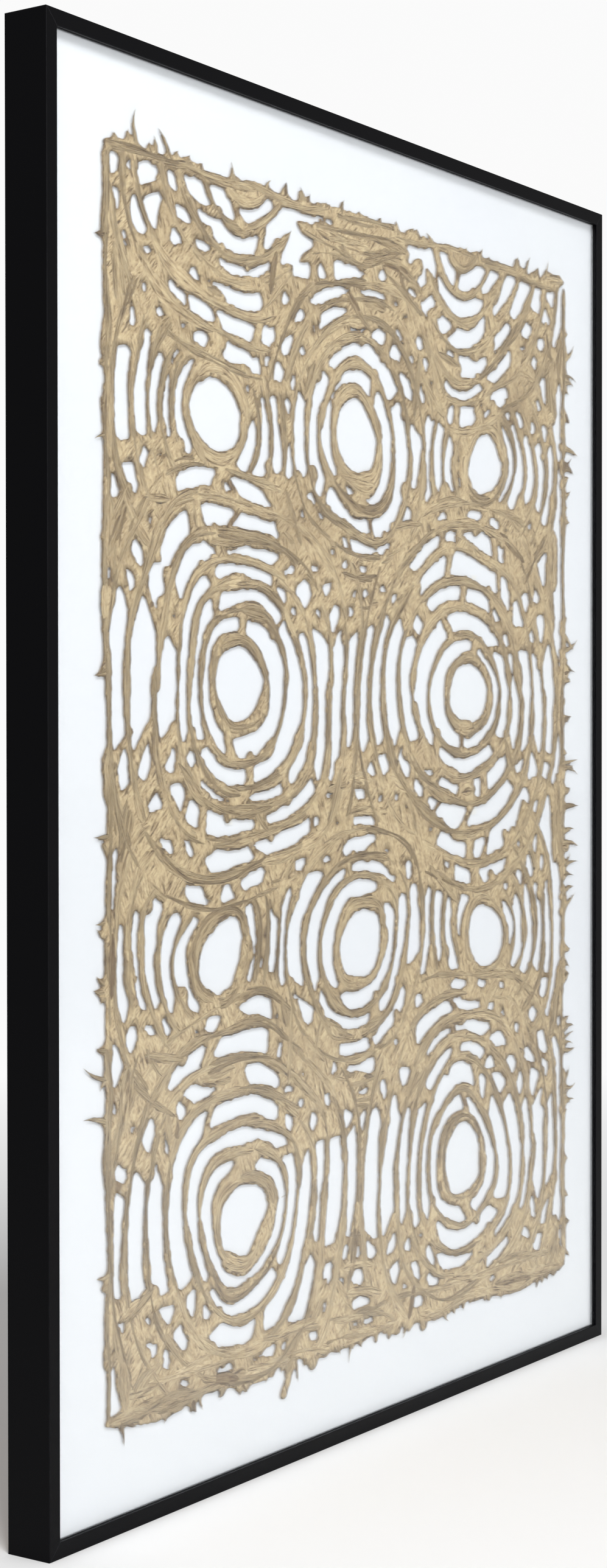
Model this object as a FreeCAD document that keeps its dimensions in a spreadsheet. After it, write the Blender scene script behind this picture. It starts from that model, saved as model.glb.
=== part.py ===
import FreeCAD, Part
import Sketcher
import math
import os
import random

# Shadow-box frame with a lace sheet of beaten bark strips floated on a pale mount.
# +X to the right, +Y towards the wall, +Z up. The origin is the bottom centre of the whole piece.

# Driving dimensions in millimetres
SIZES = {
    "frame_width": 920.0,
    "frame_height": 1200.0,
    "rail_depth": 42.0,
    "face_width": 13.0,
    "rail_wall": 7.0,
    "lip_thickness": 2.5,
    "edge_round": 0.6,
    "panel_clearance": 1.0,
    "glass_thickness": 2.0,
    "spacer_depth": 3.0,
    "mount_thickness": 1.5,
    "backing_thickness": 3.0,
    "strainer_width": 20.0,
    "strainer_depth": 28.0,
    "brad_length": 25.0,
    "brad_width": 1.3,
    "brad_thickness": 1.0,
    "brad_head_width": 2.6,
    "brad_head_thickness": 0.8,
    "brad_clearance": 0.05,
    "brad_end_margin": 90.0,
    "vnail_leg": 6.0,
    "vnail_inset": 3.0,
    "vnail_thickness": 0.8,
    "vnail_height": 9.0,
    "hanger_height": 960.0,
    "hanger_width": 16.0,
    "hanger_length": 50.0,
    "hanger_thickness": 1.5,
    "hanger_corner": 4.0,
    "keyhole_radius": 4.75,
    "keyhole_slot_width": 4.6,
    "keyhole_rise": 9.0,
    "keyhole_pocket_depth": 12.0,
    "keyhole_pocket_margin": 1.2,
    "bumper_side": 12.0,
    "bumper_bevel": 1.5,
    "bumper_proud": 2.0,
    "bumper_height_above_base": 60.0,
    "lace_width": 778.0,
    "lace_height": 1038.0,
    "lace_thickness": 1.2,
    "lace_standoff": 0.8,
    "lace_edge_wave": 3.0,
    "lace_edge_step": 45.0,
    "lace_border": 20.0,
    "ring_grid_drop": 31.0,
    "ring_grid_shift": 8.0,
    "ring_row_pitch": 227.0,
    "ring_column_pitch": 225.0,
    "ring_pair_pitch": 374.0,
    "eye_half_width": 30.0,
    "eye_half_height": 36.0,
    "ring_first_radius": 60.0,
    "ring_pitch": 36.5,
    "slot_width": 21.0,
    "bridge_width": 17.0,
    "strip_width_at_seam": 9.0,
    "shortest_slot": 46.0,
    "pad_side": 9.0,
}

SIDE_BRADS = 3  # along each side strip
END_BRADS = 2  # along the top and the bottom strip
EYE_CORNERS = 16
RINGS = 4  # rings of slots round each eye, as far as its neighbours leave room
LACE_SEED = 11

doc = FreeCAD.newDocument("bark_lace_frame")
dims = doc.addObject("Spreadsheet::Sheet", "dims")
for row, (alias, value) in enumerate(SIZES.items(), start=1):
    dims.set(f"A{row}", alias)
    dims.set(f"B{row}", str(value))
    dims.setAlias(f"B{row}", alias)
doc.recompute()

# Planes across the depth, from the front face of the rails backwards
GLASS_FRONT = "dims.lip_thickness"
SPACER_FRONT = f"({GLASS_FRONT} + dims.glass_thickness)"
MOUNT_FRONT = f"({SPACER_FRONT} + dims.spacer_depth)"
BACKING_FRONT = f"({MOUNT_FRONT} + dims.mount_thickness)"
STRAINER_FRONT = f"({BACKING_FRONT} + dims.backing_thickness)"
STRAINER_BACK = f"({STRAINER_FRONT} + dims.strainer_depth)"
BRAD_PLANE = f"({STRAINER_FRONT} + dims.strainer_depth / 2)"
LACE_FRONT = f"({MOUNT_FRONT} - dims.lace_standoff - dims.lace_thickness)"
FRONT_Y = "(-(dims.rail_depth + dims.bumper_proud) / 2)"

# Places across the frame
STRAINER_INNER = "(dims.rail_wall + dims.strainer_width)"
STRIP_AXIS_X = "(dims.frame_width / 2 - dims.rail_wall - dims.strainer_width / 2)"


def value_of(expression):
    """The number that an expression on the sheet gives."""
    return float(dims.evalExpression(expression))


def new_body(label):
    """An empty body with its own label."""
    body = doc.addObject("PartDesign::Body", label)
    body.Label = label
    return body


def new_sketch(body, plane, offset=None):
    """A sketch on one of the body's own origin planes, shifted along the plane's normal."""
    sketch = body.newObject("Sketcher::SketchObject", f"{body.Name}_sketch")
    support = next(f for f in body.Origin.OriginFeatures if f.Role == plane)
    sketch.AttachmentSupport = [(support, "")]
    sketch.MapMode = "FlatFace"
    if offset is not None:
        sketch.setExpression("AttachmentOffset.Base.z", offset)
    return sketch


def bind(sketch, number, expression):
    """Tie one constraint of a sketch to the sheet."""
    sketch.setExpression(f"Constraints[{number}]", expression)


def pin_point(sketch, geometry, point, place):
    """Hold one point of a sketch at a pair of sheet expressions."""
    for kind, expression in zip(("DistanceX", "DistanceY"), place):
        value = value_of(expression)
        number = sketch.addConstraint(Sketcher.Constraint(kind, -1, 1, geometry, point, value))
        bind(sketch, number, expression)


def draw_polygon(sketch, corners):
    """A closed polygon whose corners are pairs of sheet expressions."""
    points = [FreeCAD.Vector(value_of(x), value_of(y), 0) for x, y in corners]
    first = sketch.GeometryCount
    count = len(points)
    for i in range(count):
        sketch.addGeometry(Part.LineSegment(points[i], points[(i + 1) % count]), False)
    for i in range(count):
        before = first + (i - 1) % count
        sketch.addConstraint(Sketcher.Constraint("Coincident", before, 2, first + i, 1))
        pin_point(sketch, first + i, 1, corners[i])


def draw_circle(sketch, centre, radius):
    """A circle with its centre and radius tied to the sheet."""
    at = FreeCAD.Vector(value_of(centre[0]), value_of(centre[1]), 0)
    index = sketch.addGeometry(Part.Circle(at, FreeCAD.Vector(0, 0, 1), value_of(radius)), False)
    pin_point(sketch, index, 3, centre)
    bind(sketch, sketch.addConstraint(Sketcher.Constraint("Radius", index, value_of(radius))), radius)


def draw_slot(sketch, start, end, radius):
    """A slot with round ends, whose end centres and radius are tied to the sheet."""
    a = FreeCAD.Vector(value_of(start[0]), value_of(start[1]), 0)
    b = FreeCAD.Vector(value_of(end[0]), value_of(end[1]), 0)
    r = value_of(radius)
    along = math.atan2(b.y - a.y, b.x - a.x)
    side = FreeCAD.Vector(-math.sin(along), math.cos(along), 0) * r
    normal = FreeCAD.Vector(0, 0, 1)
    first = sketch.GeometryCount
    quarter = math.pi / 2
    far_end = Part.ArcOfCircle(Part.Circle(b, normal, r), along - quarter, along + quarter)
    near_end = Part.ArcOfCircle(Part.Circle(a, normal, r), along + quarter, along + 3 * quarter)
    sketch.addGeometry(far_end, False)
    sketch.addGeometry(Part.LineSegment(b + side, a + side), False)
    sketch.addGeometry(near_end, False)
    sketch.addGeometry(Part.LineSegment(a - side, b - side), False)
    for i in range(4):
        joint = Sketcher.Constraint("Tangent", first + i, 2, first + (i + 1) % 4, 1)
        sketch.addConstraint(joint)
    pin_point(sketch, first, 3, end)
    pin_point(sketch, first + 2, 3, start)
    bind(sketch, sketch.addConstraint(Sketcher.Constraint("Radius", first, r)), radius)


def add_pad(body, sketch, length, both_ways=False, turned=False):
    """Pad a sketch by a sheet expression."""
    pad = body.newObject("PartDesign::Pad", f"{body.Name}_pad")
    pad.Profile = sketch
    pad.setExpression("Length", length)
    pad.SideType = "Symmetric" if both_ways else "One side"
    pad.Reversed = turned
    doc.recompute()
    return pad


def must_cut(body, before):
    """Stop if the last feature took nothing away."""
    doc.recompute()
    if body.Shape.Volume > before - 0.01:
        raise RuntimeError(f"the last cut in {body.Label} removed nothing")


def add_pocket(body, sketch, depth=None, turned=False):
    """Pocket a sketch to a depth, or right through both ways."""
    before = body.Shape.Volume
    pocket = body.newObject("PartDesign::Pocket", f"{body.Name}_pocket")
    pocket.Profile = sketch
    if depth is None:
        pocket.Type = "ThroughAll"
        pocket.SideType = "Symmetric"
    else:
        pocket.setExpression("Length", depth)
        pocket.Reversed = turned
    must_cut(body, before)
    return pocket


def draw_brads(sketch, side, head, clearance):
    """The outlines of a side's brads, seen along the depth, pointing from the strip into the rail."""
    narrow = f"(dims.brad_width / 2 + {clearance})"
    wide = f"(dims.brad_head_width / 2 + {clearance})"
    tip = f"({STRAINER_INNER} - dims.brad_length - {clearance})"
    neck = f"({STRAINER_INNER} - dims.brad_head_thickness - {clearance})"
    for x in side.brad_places():
        if head:
            draw_polygon(sketch, [
                (f"({x} - {narrow})", tip),
                (f"({x} + {narrow})", tip),
                (f"({x} + {narrow})", neck),
                (f"({x} + {wide})", neck),
                (f"({x} + {wide})", STRAINER_INNER),
                (f"({x} - {wide})", STRAINER_INNER),
                (f"({x} - {wide})", neck),
                (f"({x} - {narrow})", neck),
            ])
        else:
            draw_polygon(sketch, [
                (f"({x} - {narrow})", tip),
                (f"({x} + {narrow})", tip),
                (f"({x} + {narrow})", "dims.rail_wall"),
                (f"({x} - {narrow})", "dims.rail_wall"),
            ])


def edge_names(feature, wanted):
    """Names of the edges of a feature whose middle points pass a test."""
    edges = enumerate(feature.Shape.Edges, start=1)
    return [f"Edge{number}" for number, edge in edges if wanted(edge.CenterOfMass, edge)]


def round_edges(body, feature, radius, wanted):
    """Fillet the wanted edges of a feature."""
    fillet = body.newObject("PartDesign::Fillet", f"{body.Name}_fillet")
    fillet.Base = (feature, edge_names(feature, wanted))
    fillet.setExpression("Radius", radius)
    doc.recompute()


def bevel_edges(body, feature, width, wanted):
    """Chamfer the wanted edges of a feature."""
    chamfer = body.newObject("PartDesign::Chamfer", f"{body.Name}_chamfer")
    chamfer.Base = (feature, edge_names(feature, wanted))
    chamfer.setExpression("Size", width)
    doc.recompute()


class Side:
    """One side of the frame, with a local frame that its rail, spacer and strip share.

    Local +X runs along the rail, +Y from its front face to the wall, and +Z from its outer face inwards.
    """

    def __init__(self, name, length, turn, base, brads, up):
        self.name = name
        self.length = length
        self.rotation = FreeCAD.Rotation(FreeCAD.Vector(0, 1, 0), turn)
        self.base = base
        self.brads = brads
        self.up = up  # the sign of local X that points up, or 0

    def brad_places(self):
        """Local X of each brad, as sheet expressions."""
        reach = f"({self.length} / 2 - dims.brad_end_margin)"
        last = self.brads - 1
        return [f"({reach} * {2 * i / last - 1:.6f})" for i in range(self.brads)]

    def place(self, thing):
        """Put a piece drawn in the local frame where its side is."""
        thing.Placement = FreeCAD.Placement(FreeCAD.Vector(0, 0, 0), self.rotation)
        for axis, expression in zip("xyz", self.base):
            thing.setExpression(f".Placement.Base.{axis}", expression)

    def placement(self):
        """The same placement as plain numbers."""
        base = FreeCAD.Vector(*(value_of(expression) for expression in self.base))
        return FreeCAD.Placement(base, self.rotation)


WIDTH = "dims.frame_width"
HEIGHT = "dims.frame_height"
SIDES = [
    Side("top", WIDTH, 180, ("0", FRONT_Y, HEIGHT), END_BRADS, 0),
    Side("bottom", WIDTH, 0, ("0", FRONT_Y, "0"), END_BRADS, 0),
    Side("left", HEIGHT, 90, (f"-{WIDTH} / 2", FRONT_Y, f"{HEIGHT} / 2"), SIDE_BRADS, -1),
    Side("right", HEIGHT, -90, (f"{WIDTH} / 2", FRONT_Y, f"{HEIGHT} / 2"), SIDE_BRADS, 1),
]


def make_rail(side):
    """A rebated rail: a deep wall with a thin front lip, eased edges and mitred ends."""
    body = new_body(f"rail_{side.name}")
    profile = new_sketch(body, "YZ_Plane")
    draw_polygon(profile, [
        ("0", "0"),
        ("dims.rail_depth", "0"),
        ("dims.rail_depth", "dims.rail_wall"),
        ("dims.lip_thickness", "dims.rail_wall"),
        ("dims.lip_thickness", "dims.face_width"),
        ("0", "dims.face_width"),
    ])
    bar = add_pad(body, profile, side.length, both_ways=True)
    face = value_of("dims.face_width")

    def is_front_edge(middle, edge):
        along = abs(edge.tangentAt(edge.FirstParameter).x) > 0.99
        return along and middle.y < 0.01 and (middle.z < 0.01 or middle.z > face - 0.01)

    round_edges(body, bar, "dims.edge_round", is_front_edge)

    mitres = new_sketch(body, "XZ_Plane")
    for sign in ("", "-"):
        end = f"{sign}({side.length} / 2)"
        inner = f"{sign}({side.length} / 2 - dims.face_width)"
        draw_polygon(mitres, [(end, "0"), (end, "dims.face_width"), (inner, "dims.face_width")])
    add_pocket(body, mitres)

    nails = new_sketch(body, "XZ_Plane", "-dims.rail_depth")
    for sign in ("", "-"):
        near = f"{sign}({side.length} / 2 - dims.vnail_inset)"
        far = f"{sign}({side.length} / 2 - dims.vnail_inset - dims.vnail_leg)"
        low = "dims.vnail_inset"
        high = "(dims.vnail_inset + dims.vnail_thickness)"
        draw_polygon(nails, [(near, low), (far, low), (far, high), (near, high)])
    add_pocket(body, nails, "dims.vnail_height", turned=True)

    brad_back = f"(-{BRAD_PLANE} - dims.brad_thickness / 2 - dims.brad_clearance)"
    brads = new_sketch(body, "XZ_Plane", brad_back)
    draw_brads(brads, side, False, "dims.brad_clearance")
    add_pocket(body, brads, "(dims.brad_thickness + 2 * dims.brad_clearance)", turned=True)
    side.place(body)
    return body


def make_spacer(side):
    """A strip that holds the glass off the mount, flush with the lip."""
    spacer = doc.addObject("Part::Box", f"spacer_{side.name}")
    spacer.Label = f"spacer_{side.name}"
    outer = "(dims.rail_wall + dims.panel_clearance)"
    if side.up:
        length = f"({side.length} - 2 * {outer})"
    else:
        length = f"({side.length} - 2 * dims.face_width)"
    box_sizes = {"Length": length, "Width": "dims.spacer_depth", "Height": f"(dims.face_width - {outer})"}
    for name, expression in box_sizes.items():
        spacer.setExpression(name, expression)
    corner = FreeCAD.Vector(-value_of(length) / 2, value_of(SPACER_FRONT), value_of(outer))
    place_box(spacer, side, length, SPACER_FRONT, outer, corner)
    return spacer


def place_box(box, side, length, front, outer, corner):
    """Put a box, drawn from its corner in a side's local frame, where it belongs."""
    turned = side.rotation.multVec(FreeCAD.Vector(1, 0, 0))
    inward = side.rotation.multVec(FreeCAD.Vector(0, 0, 1))
    box.Placement = FreeCAD.Placement(side.placement().multVec(corner), side.rotation)
    for axis, base, run, lift in zip("xyz", side.base, turned, inward):
        depth = front if axis == "y" else "0"
        expression = f"{base} - {round(run)} * {length} / 2 + {depth} + {round(lift)} * {outer}"
        box.setExpression(f".Placement.Base.{axis}", expression)


def make_strainer(side):
    """A strip behind the backing board, nailed to the rail's wall with brads."""
    body = new_body(f"strainer_{side.name}")
    if side.up:
        half = f"({side.length} / 2 - dims.rail_wall)"
    else:
        half = f"({side.length} / 2 - {STRAINER_INNER})"
    outline = new_sketch(body, "XY_Plane", "dims.rail_wall")
    draw_polygon(outline, [
        (f"-{half}", STRAINER_FRONT),
        (half, STRAINER_FRONT),
        (half, STRAINER_BACK),
        (f"-{half}", STRAINER_BACK),
    ])
    add_pad(body, outline, "dims.strainer_width")
    brad_back = f"(-{BRAD_PLANE} - dims.brad_thickness / 2 - dims.brad_clearance)"
    brads = new_sketch(body, "XZ_Plane", brad_back)
    draw_brads(brads, side, True, "dims.brad_clearance")
    add_pocket(body, brads, "(dims.brad_thickness + 2 * dims.brad_clearance)", turned=True)
    if side.up:
        recess_for_hanger(body, side)
    side.place(body)
    return body


def recess_for_hanger(body, side):
    """The hollow behind the hanger's keyhole, for the wall screw's head."""
    middle = "(dims.rail_wall + dims.strainer_width / 2)"
    entry = f"({side.up} * (dims.hanger_height - dims.frame_height / 2))"
    top = f"({entry} + {side.up} * dims.keyhole_rise)"
    hollow = new_sketch(body, "XZ_Plane", f"-{STRAINER_BACK}")
    draw_slot(hollow, (entry, middle), (top, middle), "(dims.keyhole_radius + dims.keyhole_pocket_margin)")
    add_pocket(body, hollow, "dims.keyhole_pocket_depth", turned=True)


HANGER_MIDDLE = "(dims.keyhole_rise / 2)"  # middle of the plate above the keyhole's round entry


def make_hanger(label, sign):
    """A flat steel plate with cut corners and a keyhole. Its small screws are left out."""
    body = new_body(label)
    half_wide = "(dims.hanger_width / 2)"
    half_waist = f"({half_wide} - dims.hanger_corner)"
    low = f"({HANGER_MIDDLE} - dims.hanger_length / 2)"
    high = f"({HANGER_MIDDLE} + dims.hanger_length / 2)"
    plate = new_sketch(body, "XZ_Plane")
    draw_polygon(plate, [
        (f"-{half_waist}", low),
        (half_waist, low),
        (half_wide, f"({low} + dims.hanger_corner)"),
        (half_wide, f"({high} - dims.hanger_corner)"),
        (half_waist, high),
        (f"-{half_waist}", high),
        (f"-{half_wide}", f"({high} - dims.hanger_corner)"),
        (f"-{half_wide}", f"({low} + dims.hanger_corner)"),
    ])
    add_pad(body, plate, "dims.hanger_thickness", turned=True)
    entry = new_sketch(body, "XZ_Plane")
    draw_circle(entry, ("0", "0"), "dims.keyhole_radius")
    add_pocket(body, entry)
    slot = new_sketch(body, "XZ_Plane")
    draw_slot(slot, ("0", "0"), ("0", "dims.keyhole_rise"), "(dims.keyhole_slot_width / 2)")
    add_pocket(body, slot)
    seat_on_strip(body, sign, "dims.hanger_height")
    return body


def seat_on_strip(body, sign, height):
    """Put a piece on the back of the left (-1) or right (1) strip."""
    body.setExpression(".Placement.Base.x", f"{sign} * {STRIP_AXIS_X}")
    body.setExpression(".Placement.Base.y", f"{FRONT_Y} + {STRAINER_BACK}")
    body.setExpression(".Placement.Base.z", height)


def make_bumper(label, sign):
    """A bevelled foam pad that keeps the frame's foot off the wall."""
    body = new_body(label)
    height = f"(dims.rail_depth + dims.bumper_proud - {STRAINER_BACK})"
    half = "(dims.bumper_side / 2)"
    outline = new_sketch(body, "XZ_Plane")
    draw_polygon(outline, [(f"-{half}", f"-{half}"), (half, f"-{half}"), (half, half), (f"-{half}", half)])
    pad = add_pad(body, outline, height, turned=True)
    top = value_of(height)

    def is_top_edge(middle, edge):
        return middle.y > top - 0.01

    bevel_edges(body, pad, "dims.bumper_bevel", is_top_edge)
    seat_on_strip(body, sign, "dims.bumper_height_above_base")
    return body


def make_group(label, shapes):
    """Like pieces in one node, each a solid of its own."""
    group = doc.addObject("Part::Feature", label)
    group.Label = label
    group.Shape = Part.makeCompound(shapes)
    return group


def moved(shape, base, rotation=None):
    """A copy of a shape, turned and then moved."""
    placement = FreeCAD.Placement(base, rotation or FreeCAD.Rotation())
    return shape.copy().transformed(placement.toMatrix())


def brad_shapes():
    """The brads of all four strips, each with its head flush with the strip's inner face."""
    length, width = value_of("dims.brad_length"), value_of("dims.brad_width") / 2
    head, neck = value_of("dims.brad_head_width") / 2, -value_of("dims.brad_head_thickness")
    thick = value_of("dims.brad_thickness")
    outline = [(-width, -length), (width, -length), (width, neck), (head, neck)]
    outline += [(head, 0), (-head, 0), (-head, neck), (-width, neck)]
    wire = Part.makePolygon([FreeCAD.Vector(x, -thick / 2, z) for x, z in outline + outline[:1]])
    brad = Part.Face(wire).extrude(FreeCAD.Vector(0, thick, 0))
    shapes = []
    for side in SIDES:
        for x in side.brad_places():
            seat = FreeCAD.Vector(value_of(x), value_of(BRAD_PLANE), value_of(STRAINER_INNER))
            shapes.append(moved(brad, seat).transformed(side.placement().toMatrix()))
    return shapes


def vnail_shapes():
    """One V-nail across each mitre, flush with the back edge of the rails."""
    inset = value_of("dims.vnail_inset")
    inner = inset + value_of("dims.vnail_thickness")
    reach = inset + value_of("dims.vnail_leg")
    height = value_of("dims.vnail_height")
    outline = [(inset, inset), (reach, inset), (reach, inner), (inner, inner), (inner, reach), (inset, reach)]
    wire = Part.makePolygon([FreeCAD.Vector(x, 0, z) for x, z in outline + outline[:1]])
    nail = Part.Face(wire).extrude(FreeCAD.Vector(0, height, 0))
    back = value_of(f"{FRONT_Y} + dims.rail_depth") - height
    half, tall = value_of("dims.frame_width / 2"), value_of("dims.frame_height")
    quarter_turns = {0: (-half, 0), 90: (-half, tall), 180: (half, tall), 270: (half, 0)}
    shapes = []
    for turn, (x, z) in quarter_turns.items():
        rotation = FreeCAD.Rotation(FreeCAD.Vector(0, 1, 0), turn)
        shapes.append(moved(nail, FreeCAD.Vector(x, back, z), rotation))
    return shapes


def make_panel(label, front, thickness):
    """A flat panel that drops into the rebate with clearance all round."""
    panel = doc.addObject("Part::Box", label)
    panel.Label = label
    edge = "(dims.rail_wall + dims.panel_clearance)"
    panel.setExpression("Length", f"dims.frame_width - 2 * {edge}")
    panel.setExpression("Width", thickness)
    panel.setExpression("Height", f"dims.frame_height - 2 * {edge}")
    panel.setExpression(".Placement.Base.x", f"-dims.frame_width / 2 + {edge}")
    panel.setExpression(".Placement.Base.y", f"{FRONT_Y} + {front}")
    panel.setExpression(".Placement.Base.z", edge)
    return panel


class RingLace:
    """The lace sheet: bark strips laid in rings about staggered centres, beaten into one web.

    Each centre has an open eye and rings of slots round it. A ring runs as far as the seam with the next
    centre's rings, and bridges of bark across its diagonals break it into slots. The strips are a little
    uneven, as hand-laid ones are.
    """

    # How far from its middle each corner of a slot lies along the slot, as a share of its half length
    SLOT_STATIONS = (-0.95, -0.75, -0.4, 0.0, 0.4, 0.75, 0.95)

    def __init__(self):
        self.random = random.Random(LACE_SEED)
        middle = value_of("dims.frame_height / 2")
        self.right = value_of("dims.lace_width / 2")
        self.low = middle - value_of("dims.lace_height / 2")
        self.high = middle + value_of("dims.lace_height / 2")
        self.grid_middle = middle - value_of("dims.ring_grid_drop")
        self.slot = value_of("dims.slot_width")
        self.rows = {row: self.row_centres(row) for row in range(6)}
        self.centres = [centre for row in self.rows.values() for centre in row]

    def row_centres(self, row):
        """Ring centres of a row, counted from 1 at the top. Rows 0 and 5 lie beyond the sheet's edges."""
        z = self.grid_middle + (2.5 - row) * value_of("dims.ring_row_pitch")
        shift = -value_of("dims.ring_grid_shift")
        if row % 2:
            step = value_of("dims.ring_column_pitch")
            return [(shift - step, z), (shift, z), (shift + step, z)]
        half = value_of("dims.ring_pair_pitch / 2")
        return [(shift - half, z), (shift + half, z)]

    def uneven(self, amount):
        """A small seeded deviation."""
        return self.random.uniform(-amount, amount)

    def closed_wire(self, points):
        """A closed wire through points on the sheet's front plane."""
        corners = [FreeCAD.Vector(x, 0, z) for x, z in points]
        return Part.makePolygon(corners + corners[:1])

    def eye(self, centre):
        """The open eye at a ring centre."""
        points = []
        for i in range(EYE_CORNERS):
            angle = math.radians(360 / EYE_CORNERS * i + self.uneven(5))
            grow = 1 + self.uneven(0.05)
            x = centre[0] + value_of("dims.eye_half_width") * grow * math.cos(angle)
            z = centre[1] + value_of("dims.eye_half_height") * grow * math.sin(angle)
            points.append((x, z))
        return self.closed_wire(points)

    def room(self, centre, radius, degrees):
        """How far a point on a ring lies from the nearest seam or edge of the sheet."""
        angle = math.radians(degrees)
        x = centre[0] + radius * math.cos(angle)
        z = centre[1] + radius * math.sin(angle)
        seam = value_of("dims.strip_width_at_seam") / 2
        border = value_of("dims.lace_border")
        rooms = [self.right - abs(x) - border, z - self.low - border, self.high - z - border]
        for other in self.centres:
            apart = math.dist(centre, other)
            if apart > 0:
                rooms.append((math.dist((x, z), other) ** 2 - radius ** 2) / (2 * apart) - seam)
        return min(rooms)

    def ring_slots(self, centre, radius):
        """The slots of one ring: where there is room for them, between the bridges on its diagonals."""
        bridge = math.degrees(value_of("dims.bridge_width") / 2 / radius)
        wires = []
        for quarter in range(4):
            degrees = 90 * quarter - 45 + bridge + self.uneven(4)
            last = 90 * quarter + 45 - bridge + self.uneven(4)
            start = None
            while degrees <= last + 1:
                free = degrees <= last and self.room(centre, radius, degrees) >= self.slot / 2
                if free and start is None:
                    start = degrees
                if not free and start is not None:
                    if math.radians(degrees - 1 - start) * radius > value_of("dims.shortest_slot"):
                        wires.append(self.slot_wire(centre, radius, start, degrees - 1))
                    start = None
                degrees += 1
        return wires

    def slot_wire(self, centre, radius, first, last):
        """A slot along a ring between two angles, blunt at its ends and widest at its middle."""
        middle, half_span = math.radians(first + last) / 2, math.radians(last - first) / 2
        half_wide = self.slot / 2 * (1 - abs(self.uneven(0.12)))
        plan = [(s, half_wide * math.sqrt(1 - s ** 4)) for s in self.SLOT_STATIONS]
        corners = [(-1.0, 0.0)] + plan + [(1.0, 0.0)] + [(s, -across) for s, across in reversed(plan)]
        points = []
        for along, across in corners:
            angle = middle + along * half_span
            r = radius + across + self.uneven(0.8)
            points.append((centre[0] + r * math.cos(angle), centre[1] + r * math.sin(angle)))
        return self.closed_wire(points)

    def outline(self):
        """The sheet's own edge, a rectangle with the wave of torn strips."""
        step, wave = value_of("dims.lace_edge_step"), value_of("dims.lace_edge_wave")
        low_edge = [(-self.right, self.low), (self.right, self.low)]
        corners = low_edge + [(self.right, self.high), (-self.right, self.high)]
        points = []
        for start, end in zip(corners, corners[1:] + corners[:1]):
            count = round(math.dist(start, end) / step)
            for i in range(count):
                x = start[0] + (end[0] - start[0]) * i / count
                z = start[1] + (end[1] - start[1]) * i / count
                inward = 1 - (wave / 2 + self.uneven(wave / 2)) / self.right
                points.append((x * inward, z + self.uneven(wave / 2)))
        return self.closed_wire(points)

    def solid(self):
        """The whole web as one flat solid with its openings."""
        openings = []
        for row, centres in self.rows.items():
            for centre in centres:
                if self.low < centre[1] < self.high:
                    openings.append(self.eye(centre))
                for ring in range(RINGS):
                    radius = value_of("dims.ring_first_radius") + ring * value_of("dims.ring_pitch")
                    openings += self.ring_slots(centre, radius)
        print(f"lace openings: {len(openings)}")
        face = Part.makeFace([self.outline()] + openings, "Part::FaceMakerBullseye")
        return face.extrude(FreeCAD.Vector(0, value_of("dims.lace_thickness"), 0))

    def knots(self):
        """Solid spots of the web, halfway between each centre and its nearest ones in the next row."""
        found = []
        for row in range(1, 4):
            for upper in self.rows[row]:
                for lower in self.rows[row + 1]:
                    if math.dist(upper, lower) < value_of("dims.ring_pair_pitch") * 0.85:
                        found.append(((upper[0] + lower[0]) / 2, (upper[1] + lower[1]) / 2))
        return found


def make_lace(web):
    """The bark lace sheet in front of the mount."""
    lace = doc.addObject("Part::Feature", "bark_lace")
    lace.Label = "bark_lace"
    lace.Shape = web.solid()
    lace.Placement.Base = FreeCAD.Vector(0, value_of(f"{FRONT_Y} + {LACE_FRONT}"), 0)
    return lace


def pad_shapes(web):
    """Small adhesive pads between the lace and the mount, on the seams between ring centres."""
    side, thick = value_of("dims.pad_side"), value_of("dims.lace_standoff")
    back = value_of(f"{FRONT_Y} + {MOUNT_FRONT}") - thick
    shapes = []
    for x, z in web.knots():
        shapes.append(Part.makeBox(side, thick, side, FreeCAD.Vector(x - side / 2, back, z - side / 2)))
    return shapes


parts = []
for side in SIDES:
    parts += [make_rail(side), make_spacer(side), make_strainer(side)]
parts.append(make_panel("glass_pane", GLASS_FRONT, "dims.glass_thickness"))
parts.append(make_panel("mount_board", MOUNT_FRONT, "dims.mount_thickness"))
parts.append(make_panel("backing_board", BACKING_FRONT, "dims.backing_thickness"))
web = RingLace()
parts.append(make_lace(web))
parts.append(make_group("lace_pads", pad_shapes(web)))
parts.append(make_hanger("hanger_left", -1))
parts.append(make_hanger("hanger_right", 1))
parts.append(make_bumper("bumper_left", -1))
parts.append(make_bumper("bumper_right", 1))
doc.recompute()

parts.append(make_group("strainer_brads", brad_shapes()))
parts.append(make_group("corner_vnails", vnail_shapes()))
doc.recompute()

# Every object has to be sound before anything is written
for thing in doc.Objects:
    if {"Invalid", "Error"} & set(thing.State):
        raise RuntimeError(f"{thing.Label} failed: {thing.State}")
for part in parts:
    if part.Shape.isNull() or not part.Shape.isValid():
        raise RuntimeError(f"{part.Label} has no valid shape")

os.makedirs("parts", exist_ok=True)
for part in parts:
    part.Shape.exportStep(f"parts/{part.Label}.step")
    print(f"{part.Label}: {len(part.Shape.Solids)} solid(s), {part.Shape.Volume / 1000:.1f} cm3")
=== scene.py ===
"""Dresses the framed bark lace: black moulding, glazing, pale mount, the lace itself and the back.

Everything is in metres in the frame of the CAD model: +X to the right, +Y towards the wall, +Z up, with
the origin at the bottom centre of the whole piece.
"""

import logging
import math
from dataclasses import dataclass, field, replace
from enum import Enum

import bpy
import numpy as np
from mathutils import Matrix, Vector, geometry


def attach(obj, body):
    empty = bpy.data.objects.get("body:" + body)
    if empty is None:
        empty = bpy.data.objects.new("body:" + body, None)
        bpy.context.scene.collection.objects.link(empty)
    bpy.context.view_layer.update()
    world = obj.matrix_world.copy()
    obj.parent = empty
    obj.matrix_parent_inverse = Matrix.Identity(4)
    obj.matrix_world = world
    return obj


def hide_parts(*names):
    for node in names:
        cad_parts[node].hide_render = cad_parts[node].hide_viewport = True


logging.basicConfig(level=logging.INFO, format="%(message)s")
LOG = logging.getLogger("bark_lace")

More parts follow.
